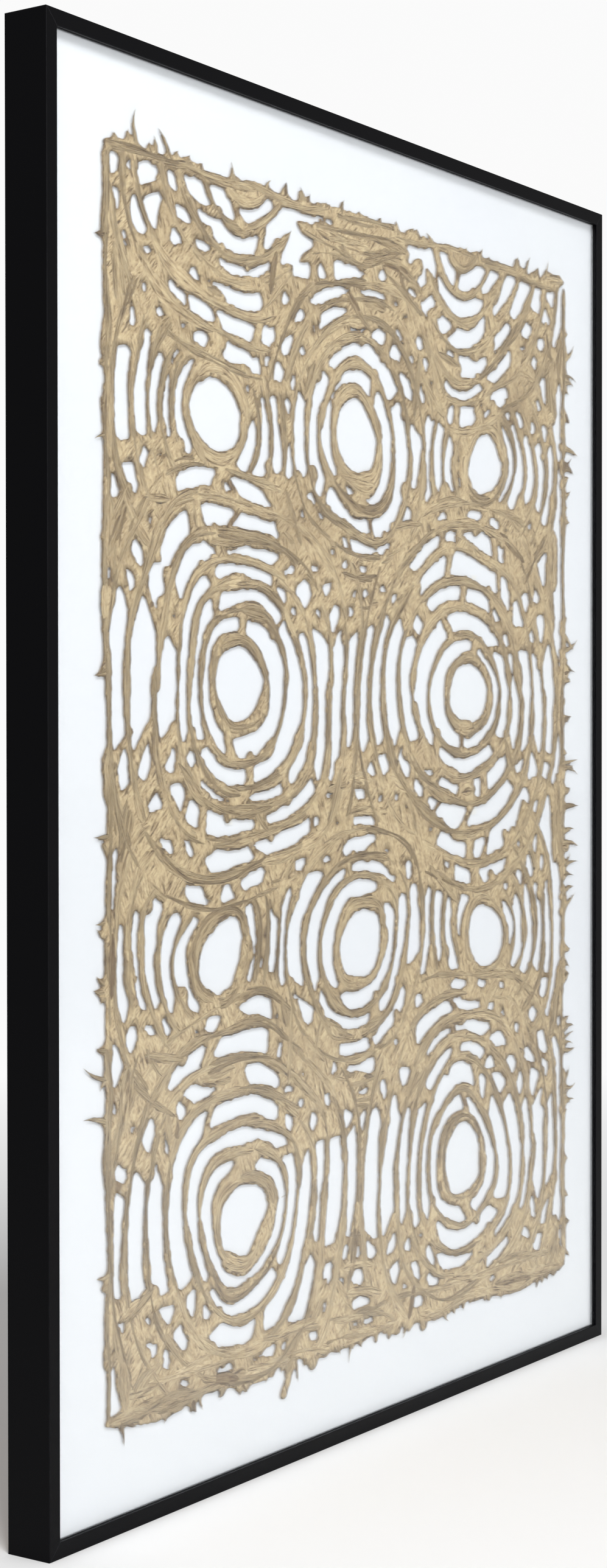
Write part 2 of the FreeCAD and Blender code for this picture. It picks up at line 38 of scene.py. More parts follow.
MM = 0.001
Colour = tuple[float, float, float, float]
Node = bpy.types.Node
Socket = bpy.types.NodeSocket


def deselect_all() -> None:
    """Leave nothing selected, so that the next operator acts on its own piece only."""
    bpy.ops.object.select_all(action="DESELECT")


def srgb(red: int, green: int, blue: int) -> Colour:
    """A linear colour from an 8-bit display colour.

    Args:
        red: Red from 0 to 255.
        green: Green from 0 to 255.
        blue: Blue from 0 to 255.

    Returns:
        The linear colour with full alpha.
    """
    parts = [c / 255 for c in (red, green, blue)]
    linear = [c / 12.92 if c <= 0.04045 else ((c + 0.055) / 1.055) ** 2.4 for c in parts]
    return (*linear, 1.0)


@dataclass
class NodeTree:
    """A short way to add and wire the nodes of one material or node group."""

    tree: bpy.types.NodeTree

    def add(self, kind: str, inputs: dict | None = None, **settings: object) -> Node:
        """Add one node.

        Args:
            kind: The node's type name.
            inputs: Values or output sockets for its inputs, by name or number.
            **settings: Properties of the node.

        Returns:
            The new node.
        """
        node = self.tree.nodes.new(kind)
        for name, value in settings.items():
            setattr(node, name, value)
        for name, value in (inputs or {}).items():
            self.feed(node.inputs[name], value)
        return node

    def feed(self, socket: Socket, value: object) -> None:
        """Link an output into a socket, or set its plain value."""
        if isinstance(value, Socket):
            self.tree.links.new(value, socket)
        else:
            socket.default_value = value

    def math(self, operation: str, *values: object, clamp: bool = False) -> Socket:
        """One Math node.

        Args:
            operation: The operation's name.
            *values: Its inputs in order, numbers or sockets.
            clamp: Whether the result is kept between 0 and 1.

        Returns:
            The node's output.
        """
        node = self.add("ShaderNodeMath", dict(enumerate(values)), operation=operation, use_clamp=clamp)
        return node.outputs[0]

    def noise(self, place: Socket, scale: object, detail: float = 2.0) -> Socket:
        """The value of a noise texture, about 0 to 1.

        Args:
            place: Where it is read.
            scale: How fine it is, to the metre.
            detail: How many finer noises are added.

        Returns:
            The node's value.
        """
        inputs = {"Vector": place, "Scale": scale, "Detail": detail}
        return self.add("ShaderNodeTexNoise", inputs).outputs["Fac"]

    def ramp(self, value: Socket, stops: list[tuple[float, Colour]]) -> Socket:
        """A colour ramp.

        Args:
            value: The factor.
            stops: Positions and colours, from low to high.

        Returns:
            The ramp's colour.
        """
        node = self.add("ShaderNodeValToRGB", {"Fac": value})
        elements = node.color_ramp.elements
        while len(elements) < len(stops):
            elements.new(0.5)
        for element, (position, colour) in zip(elements, stops):
            element.position = position
            element.color = colour
        return node.outputs["Color"]

    def blend(self, factor: object, low: object, high: object, mode: str = "MIX") -> Socket:
        """A colour mix.

        Args:
            factor: How much of the second colour shows.
            low: The first colour.
            high: The second colour.
            mode: The blend mode.

        Returns:
            The mixed colour.
        """
        node = self.add("ShaderNodeMix", data_type="RGBA", blend_type=mode)
        for name, value in (("Factor_Float", factor), ("A_Color", low), ("B_Color", high)):
            socket = next(s for s in node.inputs if s.identifier == name)
            self.feed(socket, value)
        return next(s for s in node.outputs if s.identifier == "Result_Color")


class Effect(Enum):
    """The shared surface effects, each a node group built once."""

    GRAIN = "fine_grain"
    WEAR = "edge_wear"
    SCUFF = "scuffs"


class EffectShelf:
    """Makes each shared node group the first time that a finish asks for it."""

    def __init__(self) -> None:
        self.made: dict[Effect, bpy.types.NodeTree] = {}

    def group(self, effect: Effect) -> bpy.types.NodeTree:
        """The node group of an effect."""
        if effect not in self.made:
            makers = {Effect.GRAIN: self.fine_grain, Effect.WEAR: self.edge_wear, Effect.SCUFF: self.scuffs}
            self.made[effect] = makers[effect]()
        return self.made[effect]

    def place(self, nodes: NodeTree, effect: Effect, inputs: dict) -> Node:
        """Put an effect into a material.

        Args:
            nodes: The material's nodes.
            effect: Which effect.
            inputs: Its named values.

        Returns:
            The group node.
        """
        node = nodes.add("ShaderNodeGroup", node_tree=self.group(effect))
        for name, value in inputs.items():
            nodes.feed(node.inputs[name], value)
        return node

    def grain(self, nodes: NodeTree, position: Socket, scale: float, stretch: float = 1.0) -> Node:
        """Put the grain into a material.

        Args:
            nodes: The material's nodes.
            position: Where it is read.
            scale: How fine it is, to the metre.
            stretch: How much longer its streaks are along Z.

        Returns:
            The group node.
        """
        return self.place(nodes, Effect.GRAIN, {"Position": position, "Scale": scale, "Stretch": stretch})

    def new_group(self, name: str, inputs: dict[str, float], outputs: list[str]) -> tuple:
        """An empty group with float inputs and a vector called Position.

        Args:
            name: The group's name.
            inputs: Float inputs and their defaults.
            outputs: Float outputs.

        Returns:
            The tree, its nodes, its input node and its output node.
        """
        tree = bpy.data.node_groups.new(name, "ShaderNodeTree")
        tree.interface.new_socket("Position", in_out="INPUT", socket_type="NodeSocketVector")
        for label, default in inputs.items():
            socket = tree.interface.new_socket(label, in_out="INPUT", socket_type="NodeSocketFloat")
            socket.default_value = default
        for label in outputs:
            tree.interface.new_socket(label, in_out="OUTPUT", socket_type="NodeSocketFloat")
        nodes = NodeTree(tree)
        return tree, nodes, nodes.add("NodeGroupInput"), nodes.add("NodeGroupOutput")

    def fine_grain(self) -> bpy.types.NodeTree:
        """Streaks along Z of the position: long fibres or brush marks, with a slow change of tone."""
        values = {"Scale": 40.0, "Stretch": 12.0}
        tree, nodes, given, out = self.new_group(Effect.GRAIN.value, values, ["Streak", "Cloud"])
        stretch = given.outputs["Stretch"]
        squeeze = nodes.add("ShaderNodeCombineXYZ", {0: stretch, 1: stretch, 2: 1.0})
        factors = {0: given.outputs["Position"], 1: squeeze.outputs[0]}
        along = nodes.add("ShaderNodeVectorMath", factors, operation="MULTIPLY")
        streak = nodes.add(
            "ShaderNodeTexNoise",
            {"Vector": along.outputs[0], "Scale": given.outputs["Scale"], "Detail": 6.0, "Roughness": 0.62},
        )
        cloud = nodes.noise(given.outputs["Position"], nodes.math("MULTIPLY", given.outputs["Scale"], 0.15))
        nodes.feed(out.inputs["Streak"], streak.outputs["Fac"])
        nodes.feed(out.inputs["Cloud"], cloud)
        return tree

    def edge_wear(self) -> bpy.types.NodeTree:
        """A thin worn line on outer edges, broken up by noise."""
        values = {"Width": 0.0008, "Amount": 0.5}
        tree, nodes, given, out = self.new_group(Effect.WEAR.value, values, ["Mask"])
        bevel = nodes.add("ShaderNodeBevel", {"Radius": given.outputs["Width"]}, samples=4)
        plain = nodes.add("ShaderNodeNewGeometry").outputs["Normal"]
        facing = nodes.add("ShaderNodeVectorMath", {0: bevel.outputs[0], 1: plain}, operation="DOT_PRODUCT")
        edge = nodes.math("MULTIPLY", nodes.math("SUBTRACT", 1.0, facing.outputs["Value"]), 6.0, clamp=True)
        broken = nodes.math("MULTIPLY", edge, nodes.noise(given.outputs["Position"], 90.0, 3.0))
        nodes.feed(out.inputs["Mask"], nodes.math("MULTIPLY", broken, given.outputs["Amount"], clamp=True))
        return tree

    def scuffs(self) -> bpy.types.NodeTree:
        """Sparse specks and rubbed spots."""
        values = {"Scale": 300.0, "Amount": 0.5}
        tree, nodes, given, out = self.new_group(Effect.SCUFF.value, values, ["Speck"])
        cells = nodes.noise(given.outputs["Position"], given.outputs["Scale"])
        high = nodes.math("SUBTRACT", cells, 0.62)
        strong = nodes.math("MULTIPLY", high, 9.0, clamp=True)
        nodes.feed(out.inputs["Speck"], nodes.math("MULTIPLY", strong, given.outputs["Amount"], clamp=True))
        return tree


SHELF = EffectShelf()


@dataclass(frozen=True)
class Finish:
    """What every finish has: a name, a base colour and a gloss.

    Attributes:
        name: The material's name.
        colour: Its main colour.
        roughness: Its main roughness.
        specular: The strength of its plain reflection, 0.5 for most things.
    """

    name: str
    colour: Colour
    roughness: float
    specular: float = 0.5

    def material(self) -> bpy.types.Material:
        """The finished material."""
        made = bpy.data.materials.new(self.name)
        made.use_nodes = True
        made.node_tree.nodes.clear()
        nodes = NodeTree(made.node_tree)
        surface = nodes.add(
            "ShaderNodeBsdfPrincipled",
            {"Base Color": self.colour, "Roughness": self.roughness, "Specular IOR Level": self.specular},
        )
        position = nodes.add("ShaderNodeTexCoord").outputs["Object"]
        self.dress(nodes, surface, position)
        shader = self.shade(nodes, surface)
        nodes.add("ShaderNodeOutputMaterial", {"Surface": shader})
        return made

    def dress(self, nodes: NodeTree, surface: Node, position: Socket) -> None:
        """Add the finish's own colour, roughness and relief. The plain finish adds nothing."""

    def shade(self, nodes: NodeTree, surface: Node) -> Socket:
        """The shader that goes to the output."""
        return surface.outputs["BSDF"]

    def relief(self, nodes: NodeTree, surface: Node, height: object, depth: float) -> None:
        """Feed a height into the surface as a bump.

        Args:
            nodes: The material's nodes.
            surface: The Principled node.
            height: The height's socket, from 0 to 1.
            depth: What 1 stands for, in metres.
        """
        bump = nodes.add("ShaderNodeBump", {"Height": height, "Distance": depth, "Strength": 1.0})
        nodes.feed(surface.inputs["Normal"], bump.outputs["Normal"])


@dataclass(frozen=True)
class Lacquer(Finish):
    """Black sprayed lacquer over a wooden moulding: a soft sheen, orange peel and rubbed edges.

    Attributes:
        rubbed: The colour of a rubbed edge.
        peel: The depth of the orange peel, in metres.
    """

    rubbed: Colour = srgb(62, 62, 66)
    peel: float = 0.00006

    def dress(self, nodes: NodeTree, surface: Node, position: Socket) -> None:
        """Rubbed edges, a cloudy sheen and a fine orange peel."""
        wear = SHELF.place(nodes, Effect.WEAR, {"Position": position, "Width": 0.0007, "Amount": 0.9})
        grain = SHELF.grain(nodes, position, 60.0)
        colour = nodes.blend(wear.outputs["Mask"], self.colour, self.rubbed)
        nodes.feed(surface.inputs["Base Color"], colour)
        sheen = nodes.math("MULTIPLY_ADD", grain.outputs["Cloud"], 0.12, self.roughness - 0.06)
        nodes.feed(surface.inputs["Roughness"], sheen)
        self.relief(nodes, surface, nodes.noise(position, 900.0), self.peel)


@dataclass(frozen=True)
class Glazing(Finish):
    """Clear picture glass that lets light and shadow through.

    Attributes:
        tint: What the light that passes straight through is multiplied by.
        clear_share: How much of what a ray sees passes straight through.
        index: The refractive index.
    """

    tint: Colour = (0.985, 0.99, 0.988, 1.0)
    clear_share: float = 0.5
    index: float = 1.3

    def dress(self, nodes: NodeTree, surface: Node, position: Socket) -> None:
        """Full transmission, and the faintest smear in the gloss."""
        surface.inputs["Transmission Weight"].default_value = 1.0
        surface.inputs["IOR"].default_value = self.index
        smear = nodes.noise(position, 3.0)
        nodes.feed(surface.inputs["Roughness"], nodes.math("MULTIPLY", smear, 2 * self.roughness))

    def shade(self, nodes: NodeTree, surface: Node) -> Socket:
        """The pane is clear to shadow and bounced light, and its coating halves what it mirrors."""
        path = nodes.add("ShaderNodeLightPath")
        bounced = nodes.math("MAXIMUM", path.outputs["Is Shadow Ray"], path.outputs["Is Diffuse Ray"])
        free = nodes.math("MAXIMUM", bounced, self.clear_share)
        clear = nodes.add("ShaderNodeBsdfTransparent", {"Color": self.tint})
        mix = nodes.add("ShaderNodeMixShader", {0: free, 1: surface.outputs["BSDF"], 2: clear.outputs[0]})
        return mix.outputs[0]


@dataclass(frozen=True)
class Board(Finish):
    """A pulp board: a fine tooth and a slow change of tone.

    Attributes:
        shade_colour: The darker tone of its clouds.
        tooth: The depth of its tooth, in metres.
    """

    shade_colour: Colour = srgb(240, 243, 250)
    tooth: float = 0.00008

    def dress(self, nodes: NodeTree, surface: Node, position: Socket) -> None:
        """Clouds of tone, and the tooth of pressed pulp."""
        clouds = SHELF.grain(nodes, position, 25.0).outputs["Cloud"]
        nodes.feed(surface.inputs["Base Color"], nodes.blend(clouds, self.shade_colour, self.colour))
        self.relief(nodes, surface, nodes.noise(position, 1400.0, 4.0), self.tooth)


@dataclass(frozen=True)
class Pine(Finish):
    """Planed softwood: growth rings and streaks drawn out along the strip.

    Attributes:
        latewood: The darker colour of its rings.
        upright: Whether the grain runs along Z rather than X.
    """

    latewood: Colour = srgb(196, 150, 98)
    upright: bool = True

    def dress(self, nodes: NodeTree, surface: Node, position: Socket) -> None:
        """Rings and streaks along the grain."""
        turn = (0.0, 0.0, 0.0) if self.upright else (0.0, math.pi / 2, 0.0)
        along = nodes.add("ShaderNodeMapping", {"Vector": position, "Rotation": turn})
        grain = SHELF.grain(nodes, along.outputs[0], 9.0, 26.0)
        rings = nodes.math("SINE", nodes.math("MULTIPLY", grain.outputs["Streak"], 60.0))
        banded = nodes.math("MULTIPLY_ADD", rings, 0.35, 0.4, clamp=True)
        nodes.feed(surface.inputs["Base Color"], nodes.blend(banded, self.colour, self.latewood))
        self.relief(nodes, surface, grain.outputs["Streak"], 0.0003)


@dataclass(frozen=True)
class Hardboard(Finish):
    """Pressed hardboard: matted brown fibres with a fine mesh tooth on its back.

    Attributes:
        fibre: The paler colour of the fibres.
        speck: The colour of dark specks.
    """

    fibre: Colour = srgb(150, 112, 76)
    speck: Colour = srgb(84, 58, 38)

    def dress(self, nodes: NodeTree, surface: Node, position: Socket) -> None:
        """Fibres, specks and the print of the press screen."""
        grain = SHELF.grain(nodes, position, 160.0)
        specks = SHELF.place(nodes, Effect.SCUFF, {"Position": position, "Scale": 420.0, "Amount": 0.6})
        tone = nodes.blend(grain.outputs["Streak"], self.colour, self.fibre)
        nodes.feed(surface.inputs["Base Color"], nodes.blend(specks.outputs["Speck"], tone, self.speck))
        waves = nodes.add("ShaderNodeTexVoronoi", {"Vector": position, "Scale": 420.0})
        self.relief(nodes, surface, waves.outputs["Distance"], 0.0002)


@dataclass(frozen=True)
class ZincPlate(Finish):
    """Bright zinc-plated steel: brushed streaks, a cloudy gloss and a few dull spots.

    Attributes:
        dull: The darker tone of its clouds.
    """

    dull: Colour = srgb(165, 168, 172)

    def dress(self, nodes: NodeTree, surface: Node, position: Socket) -> None:
        """Brush marks along the plate and dull spots."""
        surface.inputs["Metallic"].default_value = 1.0
        grain = SHELF.grain(nodes, position, 120.0, 14.0)
        speck = SHELF.place(nodes, Effect.SCUFF, {"Position": position, "Scale": 700.0, "Amount": 0.5})
        rough = nodes.math("MULTIPLY_ADD", grain.outputs["Streak"], 0.25, self.roughness)
        nodes.feed(surface.inputs["Roughness"], nodes.math("ADD", rough, speck.outputs["Speck"], clamp=True))
        tone = nodes.blend(grain.outputs["Cloud"], self.colour, self.dull)
        nodes.feed(surface.inputs["Base Color"], tone)
        self.relief(nodes, surface, grain.outputs["Streak"], 0.00002)


@dataclass(frozen=True)
class Foam(Finish):
    """Closed-cell foam or rubber: a pitted matt skin, with painted shade in its pits and a painted highlight
    on their rims.

    Attributes:
        pit: How many pits to the metre.
        rim: How much paler than the skin a pit's rim is painted: a painted highlight.
    """

    pit: float = 2200.0
    rim: float = 1.6

    def dress(self, nodes: NodeTree, surface: Node, position: Socket) -> None:
        """Small pits, with painted shade at their bottoms and a painted highlight on their raised rims."""
        cells = nodes.add("ShaderNodeTexVoronoi", {"Vector": position, "Scale": self.pit})
        # The raised rims get a paler colour and the pit bottoms get the skin's: painted highlight and shade.
        paler = (*(min(part * self.rim, 1.0) for part in self.colour[:3]), 1.0)
        nodes.feed(surface.inputs["Base Color"], nodes.blend(cells.outputs["Distance"], self.colour, paler))
        self.relief(nodes, surface, cells.outputs["Distance"], 0.00015)


class RingKind(Enum):
    """Which set of rings a centre belongs to."""

    PAIR = "two to a row"
    MIDDLE = "the middle of three in a row"
    OUTER = "the left or right of three in a row"


SWELL = {RingKind.PAIR: 0.30, RingKind.MIDDLE: 0.0, RingKind.OUTER: 0.25}


@dataclass(frozen=True)
class Centre:
    """The centre of one set of concentric rings, in millimetres on the sheet.

    Attributes:
        x: Its place across.
        z: Its height.
        kind: Which set it belongs to.
        pitch: From ring to ring.
        rings: How many rings it has.
        first: The radius of the innermost ring.
    """

    x: float
    z: float
    kind: RingKind
    pitch: float
    rings: int
    first: float = 39.0

    def radius(self, number: float) -> float:
        """The radius of a ring, numbered from 0 at the inside."""
        return self.first + number * self.pitch

    @property
    def reach(self) -> float:
        """The radius of the widest ring, and half a pitch more."""
        return self.radius(self.rings - 0.5)

    def place(self, radius: float, turn: np.ndarray) -> np.ndarray:
        """Points of a ring, which is squarer the wider it is.

        Args:
            radius: The ring's radius, one number or one for each point.
            turn: Each point's angle.

        Returns:
            The points, one row each.
        """
        square = 2 + SWELL[self.kind] * np.clip((np.mean(radius) - 60) / 100, 0, 1)
        out = radius * (np.abs(np.cos(turn)) ** square + np.abs(np.sin(turn)) ** square) ** (-1 / square)
        return np.stack([self.x + out * np.cos(turn), self.z + out * np.sin(turn)], -1)


@dataclass
class Strip:
    """One strip of beaten bark.

    Attributes:
        points: Its middle line, in millimetres, one row per point.
        half: Its half width at each point.
        tone: How light it is, from 0, the darkest, to 1.
        lift: How high it lies over its neighbours, from 0 to 1.
        fused: Whether it has sunk into the web, so that no ribbon shows it.
    """

    points: np.ndarray
    half: np.ndarray
    tone: float
    lift: float
    fused: bool = False


def course_of(points: np.ndarray) -> tuple[np.ndarray, np.ndarray]:
    """The direction of a line at each of its points, and the way to its left, as unit vectors."""
    way = np.gradient(points, axis=0)
    way /= np.linalg.norm(way, axis=1)[:, None] + 1e-9
    return way, np.stack([-way[:, 1], way[:, 0]], 1)


def smooth_noise(rng: np.random.Generator, count: int, knots: float) -> np.ndarray:
    """Smooth noise between about -1 and 1 along a line.

    Args:
        rng: Where the numbers come from.
        count: How many values.
        knots: How many swings the line has room for.

    Returns:
        The values.
    """
    spans = max(int(knots), 2)
    values = rng.uniform(-1, 1, spans + 4)
    place = np.linspace(0, spans, count)
    i = np.minimum(place.astype(int), spans - 1)
    f = place - i
    weights = ((1 - f) ** 3, 3 * f**3 - 6 * f**2 + 4, -3 * f**3 + 3 * f**2 + 3 * f + 1, f**3)
    return sum(weight * values[i + k] for k, weight in enumerate(weights)) / 4


class Warp:
    """A smooth random shift of the sheet's plane, the unevenness of work done by hand.

    Args:
        rng: Where the numbers come from.
        waves: How many waves are added up.
        amount: How far a point shifts, in millimetres.
        longest: The longest wave's length.
        half_width: Half the sheet's width. The shift fades towards its sides.
    """

    def __init__(
        self, rng: np.random.Generator, waves: int, amount: float, longest: float, half_width: float
    ) -> None:
        self.half_width = half_width
        self.waves = []
        for _ in range(waves):
            angle = rng.uniform(0, 2 * math.pi)
            pitch = 2 * math.pi / (longest * rng.uniform(0.45, 1.0))
            phases = rng.uniform(0, 2 * math.pi, 2)
            self.waves.append((pitch * math.cos(angle), pitch * math.sin(angle), *phases))
        self.amount = 1.4 * amount / math.sqrt(waves)

    def __call__(self, points: np.ndarray) -> np.ndarray:
        """The shifted points."""
        moved = points.copy()
        inward = np.clip((self.half_width - np.abs(points[:, 0])) / 60, 0.2, 1)
        for across, up, first, second in self.waves:
            phase = across * points[:, 0] + up * points[:, 1]
            moved[:, 0] += inward * self.amount * np.sin(phase + first)
            moved[:, 1] += inward * self.amount * np.sin(phase + second)
        return moved


# Where loose ends stick out of the sheet. Right: height, how many, spread. Left: height, length.
# Top: place across, direction in degrees, length. Foot: place across.
RIGHT_ENDS = ((1020, 4, 34), (940, 4, 26), (730, 3, 20), (560, 9, 62), (470, 3, 20), (300, 7, 46))
LEFT_ENDS = ((364, 26), (330, 24), (690, 9), (880, 8), (560, 9), (1040, 8), (210, 7))
TOP_ENDS = ((-337, 118, 27), (-295, 112, 22), (-210, 80, 8), (300, 74, 13), (338, 60, 15))
FOOT_ENDS = (-372, -260, -118, -20, 66, 132, 250, 334)


@dataclass
class LacePlan:
    """Where the strips of bark lie, in millimetres on the sheet.

    The centres alternate by row, two and then three across. Each has rings of strips about it, knitted
    by strips that cross them, and a border of strips runs round the sheet.

    Attributes:
        seed: The number that the random choices start from.
        half_width: Half the sheet's width.
        low: The height of its lower edge.
        high: The height of its upper edge.
        middle: The height halfway between the third and fourth rows.
        row_pitch: The height from row to row.
        column: From the middle centre of three to its neighbours.
        pair: From the sheet's middle to each centre of two.
        shift: How far the centres stand to the side.
        step: From point to point along a strip.
        rows: How many rows of centres there are.
        free_radius: A ring inside this radius is never cut.
        knot_reach: Centres further apart than this have no strip between them.
        no_knot: How often the strip is left out elsewhere.
        strips: The strips of the web.
        strands: Narrow strands that lie along the strips.
        leaves: Leaf-shaped patches over its solid places.
        whiskers: Loose ends and tufts.
    """

    seed: int = 5
    half_width: float = 389.0
    low: float = 81.0
    high: float = 1119.0
    middle: float = 569.0
    row_pitch: float = 227.0
    column: float = 225.0
    pair: float = 187.0
    shift: float = -8.0
    step: float = 3.0
    rows: int = 6
    free_radius: float = 50.0
    knot_reach: float = 420.0
    no_knot: float = 0.25
    strips: list[Strip] = field(default_factory=list)
    strands: list[Strip] = field(default_factory=list)
    leaves: list[Strip] = field(default_factory=list)
    whiskers: list[Strip] = field(default_factory=list)

    def __post_init__(self) -> None:
        self.rng = np.random.default_rng(self.seed)
        self.warp = Warp(self.rng, 7, 5.5, 260.0, self.half_width)
        self.centres = self.find_centres()

    def find_centres(self) -> list[Centre]:
        """The centres, row by row from the top."""
        found = []
        for row in range(self.rows):
            z = self.middle + (2.5 - row) * self.row_pitch
            if row % 2:
                rings = 8 if row == 1 else 6
                found.append(Centre(self.shift, z, RingKind.MIDDLE, 23.0, rings))
                for way in (-1, 1):
                    found.append(Centre(self.shift + way * self.column, z, RingKind.OUTER, 20.5, 6))
            else:
                for way in (-1, 1):
                    found.append(Centre(self.shift + way * self.pair, z, RingKind.PAIR, 24.6, 7))
        return found

    def allowed(self, centre: Centre, points: np.ndarray, radius: float) -> np.ndarray:
        """Which points of a ring carry a strip.

        A point doesn't where it comes too near another centre, past the line halfway to its neighbour, or
        off the sheet. The distances are in millimetres.

        Args:
            centre: The ring's centre.
            points: Its points.
            radius: Its radius.

        Returns:
            True for each point that does.
        """
        x, z = points.T
        level = np.abs(z - centre.z)
        kept = (np.abs(x) < self.half_width - 9) & (z > self.low + 9) & (z < self.high - 7)
        if radius < self.free_radius:
            return kept
        gaps = {other: np.hypot(x - other.x, z - other.z) for other in self.centres}
        if centre.kind is RingKind.PAIR:
            for other, gap in gaps.items():
                if other.kind is RingKind.PAIR and other.z == centre.z and other.x != centre.x:
                    past = math.copysign(1.0, other.x - centre.x) * (x - (other.x + centre.x) / 2)
                    kept &= ((past < 4.0) | (level > 52)) & (past < 26.0)
                if other.kind is RingKind.MIDDLE and centre.z > self.high and other.z > centre.z - 300:
                    kept &= (gap > 158) & ((gap > 222) | (np.abs(x - other.x) > 112))
                elif other.kind is RingKind.MIDDLE:
                    kept &= gap > 112
            return kept
        if centre.kind is RingKind.MIDDLE:
            kept &= (np.abs(x - centre.x) < self.column / 2) | (level > 38)
            kept &= (radius < 160) | (z > centre.z + 100)
            for other, gap in gaps.items():
                if other.kind is RingKind.PAIR:
                    kept &= gap > (176 if other.z < self.high else 118)
            return kept
        outward = math.copysign(1.0, centre.x) * (x - centre.x)
        overlap = np.clip((outward - 40) / 60, 0, 1) * 52
        for other, gap in gaps.items():
            if other.kind is RingKind.PAIR:
                kept &= gap > 187 - overlap
            if other.kind is RingKind.MIDDLE:
                kept &= np.abs(x - other.x) > self.column / 2
        return kept & ((outward > 0) | (level < 44))

    def ring(self, centre: Centre, number: int) -> None:
        """Lay the strips of one ring.

        Args:
            centre: The ring's centre.
            number: Its place from the inside, from 0.
        """
        rng = self.rng
        radius = centre.radius(number) + (rng.normal(0, 1.2) if number else 0.0)
        count = int(2 * math.pi * radius / self.step)
        turn = np.linspace(0, 2 * math.pi, count, endpoint=False)
        out = np.full(count, radius)
        for wave in range(2, 7):
            swing = np.clip(rng.normal(0, 1), -1.3, 1.3) * (1.0 + 0.002 * radius) / math.sqrt(wave)
            out = out + swing * np.cos(wave * turn + rng.uniform(0, 6.3))
        points = centre.place(out, turn)
        kept = self.allowed(centre, points, radius)
        if kept.all():
            runs = [np.arange(count + 4) % count]
        else:
            order = (np.arange(count) + int(np.argmin(kept))) % count
            edges = np.flatnonzero(np.diff(np.concatenate([[0], kept[order].astype(int), [0]])))
            runs = [order[a:b] for a, b in zip(edges[::2], edges[1::2])]
        for run in runs:
            if len(run) * self.step < 22:
                continue
            start = 0
            while start < len(run):
                stop = min(start + int(rng.uniform(60, 190) / self.step), len(run))
                if len(run) - stop < 12:
                    stop = len(run)
                part = points[run[max(start - 4, 0):min(stop + 4, len(run))]]
                self.lay(part, self.ring_half(centre, part, radius))
                start = stop

    def ring_half(self, centre: Centre, points: np.ndarray, radius: float) -> np.ndarray:
        """The half width of a ring's strip: thin at its upright sides, wide at the eye."""
        up = np.abs(points[:, 1] - centre.z)
        across = np.abs(points[:, 0] - centre.x)
        steep = np.clip((across - up) / np.maximum(np.hypot(across, up), 1), 0, 1)
        if radius < 45:
            return 6.9 - 0.8 * steep
        slanted = np.clip(1 - 1.6 * np.abs(across - up) / np.maximum(np.hypot(across, up), 1), 0, 1)
        near, far = min(max((110 - radius) / 40, 0), 1), min(max((radius - 90) / 50, 0), 1)
        return 5.1 + 1.9 * slanted * far - 1.6 * steep - 0.8 * near

    def lay(self, points: np.ndarray, half: np.ndarray, blunt: bool = False, inner: bool = True) -> None:
        """Add one strip, uneven in its course and width.

        Args:
            points: Its middle line before the sheet's unevenness.
            half: Its plain half width at each point.
            blunt: Whether it widens at its ends, as a short link does, rather than narrows. It is then fused
                into the web, and no ribbon shows it.
            inner: Whether it is part of the rings, and not of the straight border.
        """
        rng = self.rng
        count = len(points)
        length = count * self.step
        way, normal = course_of(points)
        stray = 2.0 * smooth_noise(rng, count, length / 42)
        course = points + stray[:, None] * normal
        course = self.warp(course) if inner else course
        wide = half * (1 + 0.36 * smooth_noise(rng, count, length / 26))
        wide = wide + 0.6 * smooth_noise(rng, count, length / 9)
        if rng.uniform() < 0.35:
            place = (np.arange(count) - rng.uniform(0.2, 0.8) * count) * self.step
            wide = wide + rng.uniform(1.5, 4.0) * np.exp(-((place / rng.uniform(8, 18)) ** 2))
        ends = np.minimum(np.arange(count), np.arange(count)[::-1]) * self.step
        shape = 1 + 0.15 * np.clip(1 - ends / 6, 0, 1) if blunt else np.clip(0.35 + ends / 14, 0, 1)
        upright = float(np.mean(np.abs(way[:, 1])) > 0.93)
        tone = rng.uniform() * (1 - 0.55 * upright)
        half = np.maximum(wide * shape, 1.0)
        self.strips.append(Strip(course, half, 0.25 + 0.75 * tone, rng.uniform(), blunt))

    def line(self, start: tuple, end: tuple, half: float, sway: float = 3.0) -> None:
        """A strip between two points, swaying a little.

        Args:
            start: One end.
            end: The other.
            half: Its half width.
            sway: How far it strays from straight.
        """
        first, last = np.array(start, float), np.array(end, float)
        length = float(np.linalg.norm(last - first))
        count = max(int(length / self.step), 6)
        along = np.linspace(0, 1, count)[:, None]
        normal = np.array([first[1] - last[1], last[0] - first[0]]) / length
        stray = sway * smooth_noise(self.rng, count, length / 40)
        points = first + (last - first) * along + normal * stray[:, None]
        inside = (np.abs(points[:, 0]) < self.half_width - 6) & (points[:, 1] > self.low + 6)
        inside &= points[:, 1] < self.high - 6
        if inside.sum() > 6:
            self.lay(points[inside], np.full(int(inside.sum()), half))

    def spacing(self, centre: Centre, spot: np.ndarray, number: int) -> float:
        """How far apart the links between two rings are, or 0 where there are none.

        Args:
            centre: The rings' centre.
            spot: A place between the two rings.
            number: The inner ring's number.

        Returns:
            The spacing in millimetres.
        """
        across, up = abs(spot[0] - centre.x), abs(spot[1] - centre.z)
        if centre.kind is RingKind.OUTER:
            return 0.0 if up < 40 else 34.0
        if up < (50 if centre.kind is RingKind.PAIR else 38):
            return 0.0
        if number < 2:
            return 135.0 - 35 * number
        if across < (66 if centre.kind is RingKind.PAIR else 46):
            return 76.0
        return 27.0

